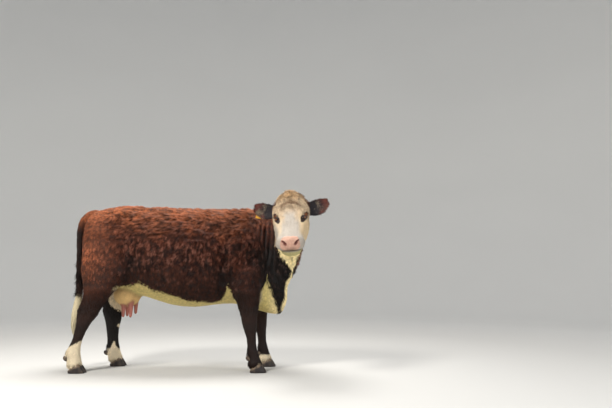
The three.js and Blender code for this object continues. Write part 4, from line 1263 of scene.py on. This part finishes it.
def crown_tufts(skin, rng):
    """The curls of the crown and forehead."""
    of = of_parts(skin["shares"])
    top = within(into(skin["points"], HEAD), *CURL_SPANS)
    tufts = plant(skin, DENSITY["crown"] * top * (of["head"] + of["neck"]), rng)
    x = into(tufts["root"], HEAD)[:, X]
    crest, low = ramp(x, 0.10, 0.02), ramp(x, 0.09, 0.24)
    tufts = dressed(tufts, rng, **sized("crown", crest=crest, low=low), bend=0.4, stray=0.5)
    # Darker roots among the curls: painted shade.
    tufts["base"] = tufts["base"] * (0.66 + 0.30 * low)
    tufts = clumped(tufts, CROWN_LOCK, 96, 0.45, 0.80 - 0.40 * low)
    curl = np.sign(hashed(np.floor(tufts["root"] / CROWN_LOCK), 97)[:, 0] - 0.5)
    tufts["bend"] = curl * (1.7 + 0.9 * tufts["bend"])
    return tufts


PALE_EAR_HAIR = [  # where it grows in an ear's hollow: centre and radius, in the ear's axes
    ((0.116, 0.024, 0), (0.016, 0.050, 1)),
    ((0.134, -0.036, 0), (0.052, 0.038, 1)),
]
TAG_COVER = ((0, 0.012, 0), (0.032, 0.032, 1))  # of the hair that hides the button, from the button
EAR_OUTLINE = {"half": 0.074, "length": 0.208, "sinks": 0.007}  # of the skin's ear
EAR_TIP = (0.165, 0.190)


def ear_tufts(skin, rng):
    """Short hair, longer at the rim and below, with loose pale hair hanging in the hollow."""
    hairy = ramp(of_parts(skin["shares"])["ear"], 0.2, 0.6)
    over_tag = hill(into(skin["points"], EARS[-1]), TAG_BUTTON, (0.040, 0.040, 0.020))
    tufts = plant(skin, DENSITY["ear"] * hairy * (1 + 4 * over_tag), rng)
    placed, axes = own_ear(tufts["root"])
    x, y, _ = placed.T
    half_width = EAR_OUTLINE["half"] * np.sqrt(np.clip(1 - (x / EAR_OUTLINE["length"]) ** 5, 0.03, 1))
    off_middle = np.abs(y + EAR_OUTLINE["sinks"]) / half_width
    rim = np.maximum(ramp(off_middle, 0.68, 0.95), ramp(x, *EAR_TIP))
    tufts = dressed(tufts, rng, **sized("ear", rim=rim), width=0.0023, bend=0.4, stray=0.25)
    tufts["lie"] = unit(tufts["lie"] + axes[:, Y] * (np.sign(y) * rim)[:, None] * 0.5)
    tufts["length"] = tufts["length"] + 0.018 * ramp(-y, 0.045, 0.062) * ramp(x, 0.19, 0.15)
    tufts = clumped(tufts, EAR_LOCK, 98, 0.25, 0.6)
    grows = np.maximum(*(hill(placed, centre, radius) for centre, radius in PALE_EAR_HAIR))
    pale = (dot(tufts["normal"], axes[:, Z]) > 0.2) & (rng.random(len(x)) < 1.2 * grows)
    covers = hill(placed, TAG_BUTTON + TAG_COVER[0], TAG_COVER[1]) * on_right(tufts["root"])
    loose = {
        "lie": unit(tufts["lie"] * rng.uniform(0.1, 1.0, len(x))[:, None] - 1.2 * axes[:, Y]),
        "towards": np.zeros_like(placed),
        "length": rng.uniform(0.009, 0.017, len(x)) + 0.012 * covers,
        "width": 0.0010 + 0.0008 * covers,
        "height": rng.uniform(0.002, 0.007, len(x)) + 0.016 * covers,
        "tint": COLOURS["ear_hair"] * rng.uniform(0.25, 1.0, len(x))[:, None],
    }
    for key, values in loose.items():
        tufts[key] = np.where(pale[:, None] if values.ndim == 2 else pale, values, tufts[key])
    return tufts


def tail_tufts(skin, rng):
    tufts = plant(skin, DENSITY["tail"] * of_parts(skin["shares"])["tail"], rng)
    fringe = ramp(tufts["root"][:, Z], 1.05, 0.75)
    tufts = dressed(tufts, rng, **sized("tail", fringe=fringe), width=0.0038, bend=0.3)
    return clumped(tufts, TAIL_LOCK, 99, 0.3)


COAT_KINDS = [  # what makes each kind of coat, how many rings a tuft has and the seed
    (body_tufts, 2, 1), (leg_tufts, 2, 2), (face_tufts, 2, 3), (crown_tufts, 5, 4), (ear_tufts, 2, 5),
    (tail_tufts, 3, 6),
]
COAT_SLOTS = {
    "trunk": "body_coat", "neck": "body_coat", "fore_leg": "body_coat", "hind_leg": "body_coat",
    "head": "face_coat", "ear": "ear_coat", "tail": "tail_coat",
}


def lay_coat(skin):
    """Grows every tuft, and sorts them into pieces by part and then along it."""
    pieces = []
    for make, rings, seed in COAT_KINDS:
        tufts = make(skin, np.random.default_rng(seed))
        owner = tufts["shares"].argmax(1)
        most = MOST_TUFT_TRIANGLES // (4 * rings - 2)
        for index, part in enumerate(PARTS):
            mine = picked(tufts, owner == index)
            if part not in COAT_SLOTS or len(mine["root"]) < FEWEST_TUFTS:
                continue
            uv = unwrapped(mine["root"], part)
            order = np.argsort(uv[:, 0], kind="stable")
            chunks = np.array_split(order, -(-len(order) // most))
            for number, chunk in enumerate(chunks, 1):
                label = f"{make.__name__}_{part}_{number}"
                piece = tuft_mesh(label, picked(mine, chunk), rings, uv[chunk])
                piece.data.materials.append(HAIR)
                pieces.append(piece)
    return pieces


# ---- Tail switch ----

SWITCH = np.array([  # height, place along her and radius of the hanging hair
    (0.260, -0.896, 0.008), (0.340, -0.894, 0.028), (0.440, -0.886, 0.037), (0.540, -0.876, 0.032),
    (0.620, -0.870, 0.020), (0.700, -0.869, 0.017),
])
SWITCH_STRANDS, SWITCH_RINGS = 1150, 9
SWITCH_LOCKS = 26
SWITCH_TOPS, SWITCH_TIPS, SWITCH_SHORTEST = (0.46, 0.69), (0.265, 0.44), 0.12
GOLDEN_ANGLE = 2.399
STRAND_HALF = 0.0023


def switch_of_hair(rng):
    """Long strands round the end of the tail, gathered into wavy locks."""
    count = SWITCH_STRANDS
    share = (np.arange(SWITCH_RINGS + 1) / SWITCH_RINGS)[None]
    top = rng.uniform(*SWITCH_TOPS, count)[:, None]
    tip = np.minimum(rng.uniform(*SWITCH_TIPS, count)[:, None], top - SWITCH_SHORTEST)
    z = top + (tip - top) * share
    middle, radius = (np.interp(z, SWITCH[:, 0], SWITCH[:, k]) for k in (1, 2))
    spread_out = np.sqrt(rng.random(count))[:, None]
    lock = rng.integers(0, SWITCH_LOCKS, count)
    angle = (lock * GOLDEN_ANGLE + rng.normal(0, 0.25, count))[:, None]
    wave = 0.35 * np.sin(z * 38 + lock[:, None] * 1.9) + 0.2 * share * rng.normal(0, 1, count)[:, None]
    angle = angle + wave
    up = np.stack([np.cos(angle), np.sin(angle), 0 * angle], -1)
    path = np.stack([middle, 0 * z, z], -1) + up * (radius * spread_out)[..., None]
    across = unit(np.cross(up, unit(np.gradient(path, axis=1))))
    half = STRAND_HALF * (1 - share ** 4)[..., None] * np.ones((count, 1, 1))
    pale = COLOURS["switch"] * (1 + 0.2 * (hashed(lock[:, None] * np.ones(3), 101)[:, :1] - 0.6))
    root = mixed(COLOURS["tail"], pale, ramp(top[:, 0], 0.66, 0.60))
    tint = root[:, None] + (pale - root)[:, None] * ramp(share, 0, 0.35)[..., None]
    # Strands nearer the middle of the switch are painted darker, as painted shade inside it.
    tint = tint * (0.72 + 0.28 * spread_out[..., None]) * rng.uniform(0.85, 1.1, count)[:, None, None]
    uv = on_map(np.stack([(top[:, 0] - 0.4) / 0.32, (angle[:, 0] / (2 * np.pi)) % 1], 1))
    return strip_mesh("tail_switch_hair", path, across, up, half, tint, rng.random(count), uv)


# ---- Eyes and feet ----

PUPIL = (0.0086, 0.0046)  # half length, level with the ground, and half height
IRIS_ANGLE = 0.70  # radians from the middle of the pupil
CORNEA_BULGE = 0.05  # of the eyeball's radius
EYEBALL_ROWS = 56


def eyeball(side_name, side):
    """A glossy ball with a bulging cornea, a brown iris and a level pupil."""
    points, tris = ball(np.zeros(3), np.ones(3), EYEBALL_ROWS)
    points = into(points, HEAD)
    angle = np.arccos(np.clip(points[:, Z], -1, 1))
    axes = eye_axes(side)
    placed = (points * (EYE_RADIUS * (1 + CORNEA_BULGE * ramp(angle, 0.75, 0.35)))[:, None]) @ axes
    level = unit(np.cross(HEAD[:3, :3].T @ np.array([0, 0, 1.0]), axes[Z]))
    along, up = placed @ level, placed @ np.cross(axes[Z], level)
    pupil = (along / PUPIL[0]) ** 2 + (up / PUPIL[1]) ** 2
    streaks = 0.25 * noise(np.stack([np.arctan2(up, along) * 6, angle, 0 * angle], 1), 1.0)
    iris = COLOURS["iris"] * (1 + streaks)[:, None] * (1.15 - 0.5 * ramp(angle, 0.45, IRIS_ANGLE))[:, None]
    tint = mixed(iris, COLOURS["eye_white"], ramp(angle, IRIS_ANGLE - 0.03, IRIS_ANGLE + 0.05))
    tint = mixed(tint, COLOURS["pupil"], (angle < 1.2) * ramp(pupil, 1.25, 0.85))
    piece = mesh_object(f"eyeball_{side_name}", out_of(mirrored(EYE, side) + placed, HEAD), tris, tint=tint)
    piece.data.materials.append(EYE_MATERIAL)
    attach(piece, "root")
    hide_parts(f"eye_{side_name}")


CORONET = {"toe": 0.072, "heel": 0.042, "apart": 0.072}  # heights of the hair line, and how far apart
HEEL = 0.057  # how far a claw's heel lies behind the foot's middle
HOOF_VOXEL, DEWCLAW_VOXEL = 0.0031, 0.0018
RING_SPACING, RING_HEIGHT, WALL_ROUGHNESS = 0.0085, 0.0005, 0.0004
HOOF_PINCH, HOOF_LIFT = 0.28, 0.004  # how far a claw's top draws in and up under the hair
DEWCLAW_PINCH, DEWCLAW_ROOT = 0.42, 0.012


def smooth_horn(node, voxel, times):
    """A node's own shape without its facets, and the low and high corners of its box."""
    points, tris = remeshed(*node_arrays(node), voxel)
    points = relaxed(points, tris, 0.5, times)
    return points, tris, points.min(0), points.max(0)


def hoof(node):
    """A claw with growth rings, whose top runs up under the hair."""
    points, tris, low, high = smooth_horn(node, HOOF_VOXEL, 9)
    centre = np.array([low[X] + HEEL, (low[Y] + high[Y]) / 2])
    slope = (CORONET["toe"] - CORONET["heel"]) / CORONET["apart"]
    hair_line = (CORONET["toe"] + CORONET["heel"]) / 2 + (points[:, X] - centre[X]) * slope
    below = hair_line - points[:, Z]
    rings = RING_HEIGHT * np.sin(below * 2 * np.pi / RING_SPACING + 1.5 * noise(points, 0.03, 111))
    wall = ramp(points[:, Z], 0.004, 0.012) * ramp(below, 0.004, 0.010)
    lift = (rings + WALL_ROUGHNESS * noise(points, 0.006, 112)) * wall
    points = points + normals_of(points, tris) * lift[:, None]
    under_hair = ramp(below, 0.020, 0.001)
    points[:, :2] += (centre - points[:, :2]) * (HOOF_PINCH * under_hair)[:, None]
    points[:, Z] += HOOF_LIFT * under_hair
    points[:, Z] = np.maximum(points[:, Z] - points[:, Z].min(), 0)
    return points, tris, ramp(below, 0.030, 0.004) * 0.8 + 0.35 * noise(points * [1, 1, 0.2], 0.012, 113)


def dewclaw(node):
    """A small horn behind the fetlock. It narrows downwards, and its root runs forward under the hair."""
    points, tris, low, high = smooth_horn(node, DEWCLAW_VOXEL, 5)
    centre = np.array([high[X], (low[Y] + high[Y]) / 2])
    fall = (high[Z] - points[:, Z]) / (high[Z] - low[Z])
    points[:, :2] += (centre - points[:, :2]) * (DEWCLAW_PINCH * fall ** 2)[:, None]
    points[:, X] += DEWCLAW_ROOT * ramp(points[:, X], *np.quantile(points[:, X], (0.35, 0.9)))
    return points, tris, 0.25 + 0.4 * noise(points, 0.008, 114)


def shoe_all():
    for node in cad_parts:
        if not node.endswith("claw"):
            continue
        points, tris, pale = (dewclaw if node.endswith("dewclaw") else hoof)(node)
        tint = mixed(COLOURS["horn"], COLOURS["pale_horn"], np.clip(pale, 0, 1))
        piece = mesh_object(f"{node}_horn", points, tris, tint=tint)
        piece.data.materials.append(HORN)
        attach(piece, "root")
        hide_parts(node)


# ---- Materials ----


def added(tree, kind, inputs, output, **settings):
    """A new node's output. Each input is a number, a tuple or another node's output."""
    node = tree.nodes.new("ShaderNode" + kind)
    for key, value in settings.items():
        setattr(node, key, value)
    for key, value in inputs.items():
        feed(tree, node.inputs[key], value)
    return node.outputs[output]


def feed(tree, socket, value):
    if isinstance(value, bpy.types.NodeSocket):
        tree.links.new(value, socket)
    else:
        socket.default_value = value


def new_material(name, roughness, **sockets):
    """A Principled material, its node tree and its shader. Sockets are set as plain numbers."""
    made = bpy.data.materials.new(name)
    made.use_nodes = True
    shader = made.node_tree.nodes["Principled BSDF"]
    shader.inputs["Roughness"].default_value = roughness
    for key, value in sockets.items():
        shader.inputs[key.replace("_", " ").title().replace("Ior", "IOR")].default_value = value
    return made, made.node_tree, shader


def read(tree, name, output):
    return added(tree, "Attribute", {}, output, attribute_name=name)


def object_place(tree):
    return added(tree, "TexCoord", {}, "Object")


def noise_of(tree, vector, scale, detail=3.0):
    inputs = {"Scale": scale, "Detail": detail}
    return added(tree, "TexNoise", {**inputs, "Vector": vector} if vector else inputs, "Fac")


def stretched(tree, vector, scale):
    return added(tree, "VectorMath", {0: vector, 1: scale}, 0, operation="MULTIPLY")


def spread(tree, value, low, high, from_low=0.25, from_high=0.75):
    """A value carried from one span to another."""
    ends = {"From Min": from_low, "From Max": from_high, "To Min": low, "To Max": high}
    return added(tree, "MapRange", {"Value": value, **ends}, "Result")


def times(tree, tint, value):
    return added(tree, "VectorMath", {0: tint, "Scale": value}, 0, operation="SCALE")


def bump(tree, shader, height, strength, distance, below=None):
    inputs = {"Strength": strength, "Distance": distance, "Height": height}
    normal = added(tree, "Bump", {**inputs, "Normal": below} if below else inputs, "Normal")
    tree.links.new(normal, shader.inputs["Normal"])
    return normal


def grained(made, tree, shader, grain, shades, polish, relief):
    """Gives a material one noise that varies its tint, its roughness and its height."""
    tint = times(tree, read(tree, "tint", "Color"), spread(tree, grain, *shades))
    tree.links.new(tint, shader.inputs["Base Color"])
    tree.links.new(spread(tree, grain, *polish), shader.inputs["Roughness"])
    bump(tree, shader, grain, *relief)
    return made


def hair_material():
    """Fine strands along each tuft."""
    made, tree, shader = new_material(
        "coat_hair", 0.6, specular_ior_level=0.13, sheen_weight=0.06, sheen_roughness=0.5,
        sheen_tint=(1.0, 0.88, 0.82, 1.0))
    strands = noise_of(tree, stretched(tree, read(tree, "strand", "Vector"), (2.6, 0.9, 90)), 1.6, 2.0)
    return grained(made, tree, shader, strands, (0.62, 1.34), (0.72, 0.50), (0.45, 0.0009))


def eye_material():
    made, tree, shader = new_material("eyeball", 0.2, coat_weight=0.6, coat_roughness=0.04)
    veins = noise_of(tree, None, 3.0, 2.0)
    return grained(made, tree, shader, veins, (0.9, 1.1), (0.16, 0.26), (0.05, 0.0003))


def horn_material():
    made, tree, shader = new_material("horn", 0.5, specular_ior_level=0.4)
    fibres = noise_of(tree, stretched(tree, object_place(tree), (1, 1, 0.12)), 900, 2.0)
    return grained(made, tree, shader, fibres, (0.8, 1.2), (0.42, 0.66), (0.3, 0.0006))


def floor_material():
    made, tree, shader = new_material("studio", 0.85)
    soft = noise_of(tree, None, 4.0, 2.0)
    return grained(made, tree, shader, soft, (0.98, 1.02), (0.80, 0.90), (0.1, 0.002))


def tag_material():
    made, tree, shader = new_material("tag_plastic", 0.4)
    scuffs = noise_of(tree, None, 60, 4.0)
    ramp_node = tree.nodes.new("ShaderNodeValToRGB")
    tree.links.new(scuffs, ramp_node.inputs["Fac"])
    for element, name in zip(ramp_node.color_ramp.elements, ("tag", "pale_tag")):
        element.color = (*COLOURS[name], 1)
    tree.links.new(ramp_node.outputs["Color"], shader.inputs["Base Color"])
    tree.links.new(spread(tree, scuffs, 0.34, 0.52), shader.inputs["Roughness"])
    bump(tree, shader, scuffs, 0.15, 0.0005)
    return made


def skin_material():
    """Short hair that lies flat, and the wet pebbled skin of the nose."""
    made, tree, shader = new_material("skin", 0.7, specular_ior_level=0.3)
    grain = read(tree, "grain", "Vector")
    hairs = noise_of(tree, grain, 420)
    blotches = noise_of(tree, grain, 45)
    strands = spread(tree, noise_of(tree, grain, 150, 4.0), 0.50, 1.45, 0.35, 0.65)
    shaggy = added(tree, "Mix", {"Factor": read(tree, "shag", "Fac"), "A": 1.0, "B": strands}, "Result")
    tint = times(tree, read(tree, "tint", "Color"), spread(tree, hairs, 0.80, 1.16))
    tint = times(tree, times(tree, tint, shaggy), spread(tree, blotches, 0.90, 1.08))
    tree.links.new(tint, shader.inputs["Base Color"])
    wet = read(tree, "wet", "Fac")
    tree.links.new(spread(tree, wet, 0.72, 0.30, 0, 1), shader.inputs["Roughness"])
    pebbles = added(tree, "TexVoronoi", {"Scale": 260, "Vector": object_place(tree)}, "Distance",
                    feature="DISTANCE_TO_EDGE")
    gaps = added(tree, "Math", {0: spread(tree, pebbles, 0, 1, 0, 0.25), 1: wet}, 0, operation="MULTIPLY")
    long_hair = bump(tree, shader, shaggy, 0.8, 0.0030)
    short_hair = bump(tree, shader, hairs, 0.45, 0.0009, long_hair)
    bump(tree, shader, gaps, 0.5, 0.0007, short_hair)
    return made


# ---- The cow ----

SQUEEZE = 0.22  # of the fine texture along the hair


def grain_of(points, of):
    """Places for the fine texture, squeezed along the lie of the hair so that it draws out."""
    face = into(points, HEAD) * [SQUEEZE, 1, 1]
    upright, level = points * [1, 1, SQUEEZE], points * [SQUEEZE, 1, 1]
    body = upright + (level - upright) * (of["trunk"] * ramp(points[:, Z], 1.06, 1.10))[:, None]
    return body + (face - body) * ramp(of["head"], 0.3, 0.7)[:, None]


def dress_skin(skin):
    points, normals, shares = skin["points"], skin["normals"], skin["shares"]
    of = of_parts(shares)
    on_head = into(points, HEAD)
    face = ramp(of["head"] + of["ear"], 0.4, 0.8)
    long_hair = of["trunk"] + of["neck"]
    # The skin is painted darker under the coat and under the crown's curls, as painted shade, less under
    # white hair.
    curls = within(on_head, (X, 0.15, 0.06), (Z, -0.06, -0.01)) * face
    dark = 1 - 0.75 * white_share(points, of)
    under_coat = (0.22 + 0.36 * long_hair) * (1 - face) * dark + 0.40 * curls
    shade = 1 - (1 - of["udder"] - of["teat"]) * under_coat
    wet = pad_share(on_head) * ramp(of["head"], 0.3, 0.6)
    for side in SIDES.values():
        wet = np.maximum(wet, 0.7 * ramp(lid_place(on_head, side)[1], 2.2, 1.2))
    tint = markings(points, normals, shares) * shade[:, None]
    shag, grain = ramp(long_hair, 0.3, 0.8) * dark, grain_of(points, of)
    piece = mesh_object("skin", points, skin["tris"], tint=tint, wet=wet, shag=shag, grain=grain)
    piece.data.materials.append(skin_material())
    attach(piece, "root")
    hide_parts(*FLESH)


HAIR = hair_material()
HORN = horn_material()
EYE_MATERIAL = eye_material()

skin = build_skin()
dress_skin(skin)
for piece in lay_coat(skin):
    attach(piece, "root")
switch = switch_of_hair(np.random.default_rng(8))
switch.data.materials.append(HAIR)
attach(switch, "root")
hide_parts("tail_switch")
for side_name, side in SIDES.items():
    eyeball(side_name, side)
shoe_all()

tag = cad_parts["ear_tag"]
tag.data.materials.clear()
tag.data.materials.append(tag_material())
rounding = tag.modifiers.new("rounding", "BEVEL")
rounding.width = 0.0008
rounding.segments = 2

# ---- Studio ----

CAMERA = np.array([1.026, -4.66, 0.70])  # in her own frame
CAMERA_PITCH = 8.174  # degrees above level
LENS, SENSOR = 32.35, 36  # millimetres
FLOOR_RINGS = (1.5, 3.0, 4.0, 5.0, 6.0, 7.5)  # radii
PALE_FROM = 3.0  # how far out the floor starts to turn as pale as the wall
BEND, BEND_STEP = 4.0, 7.5  # radius of the bend up into the wall, and the degrees between its rings
WALL_HEIGHT, STUDIO_SIDES = 10.0, 96
LIGHTS = [  # name, place in the row frame, size, power and tone
    ("key", (-2.4, -3.6, 4.8), 1.6, 330, (1.0, 0.965, 0.91)),
    ("fill", (4.6, -4.0, 2.4), 3.2, 105, (0.94, 0.97, 1.0)),
    ("top", (0.0, 0.8, 5.0), 2.4, 230, (1.0, 0.98, 0.95)),
]
LIGHTS_AIM = (0.0, 0.0, 0.9)
SKY_TONE, SKY_STRENGTH = (0.93, 0.95, 1.0, 1), 0.24


def backdrop():
    """A round floor that bends up into a wall all round her."""
    flat, sides = FLOOR_RINGS[-1], STUDIO_SIDES
    rises = np.radians(np.arange(BEND_STEP, 91, BEND_STEP))
    profile = [(reach, 0.0) for reach in FLOOR_RINGS]
    profile += [(flat + BEND * np.sin(a), BEND - BEND * np.cos(a)) for a in rises]
    profile.append((flat + BEND, WALL_HEIGHT))
    turn = np.arange(sides) * 2 * np.pi / sides
    rings = [np.stack([r * np.cos(turn), r * np.sin(turn), np.full(sides, z)], 1) for r, z in profile]
    points = np.concatenate([*rings, [[0.0, 0.0, 0.0]]])
    tris = []
    for a in range(sides):
        b = (a + 1) % sides
        tris.append((len(points) - 1, a, b))
        for ring in np.arange(len(profile) - 1) * sides:
            tris += [(ring + a, ring + sides + a, ring + sides + b), (ring + a, ring + sides + b, ring + b)]
    tint = mixed(COLOURS["floor"], COLOURS["wall"], ramp(np.hypot(*points.T[:2]), PALE_FROM, flat))
    floor = mesh_object("floor", points, np.array(tris), tint=tint)
    floor.data.materials.append(floor_material())


def soft_light(name, place, size, power, tone):
    light = bpy.data.lights.new(name, "AREA")
    light.shape = "DISK"
    light.size = size
    light.energy = power
    light.color = tone
    lamp = bpy.data.objects.new(name, light)
    lamp.location = Vector(place)
    aim = Vector(ORIGIN) + Vector(LIGHTS_AIM) - lamp.location
    lamp.rotation_euler = aim.to_track_quat("-Z", "Y").to_euler()
    bpy.context.scene.collection.objects.link(lamp)


backdrop()
for light in LIGHTS:
    soft_light(*light)

world = bpy.data.worlds.new("studio")
bpy.context.scene.world = world
world.use_nodes = True
world.node_tree.nodes["Background"].inputs["Color"].default_value = SKY_TONE
world.node_tree.nodes["Background"].inputs["Strength"].default_value = SKY_STRENGTH
bpy.context.scene.view_settings.view_transform = "Standard"

camera = bpy.data.objects.new("camera", bpy.data.cameras.new("camera"))
camera.data.lens = LENS
camera.data.sensor_width = SENSOR
camera.location = Vector(CAMERA + ORIGIN)
camera.rotation_euler = (np.radians(90 + CAMERA_PITCH), 0, 0)
bpy.context.scene.collection.objects.link(camera)
bpy.context.scene.camera = camera
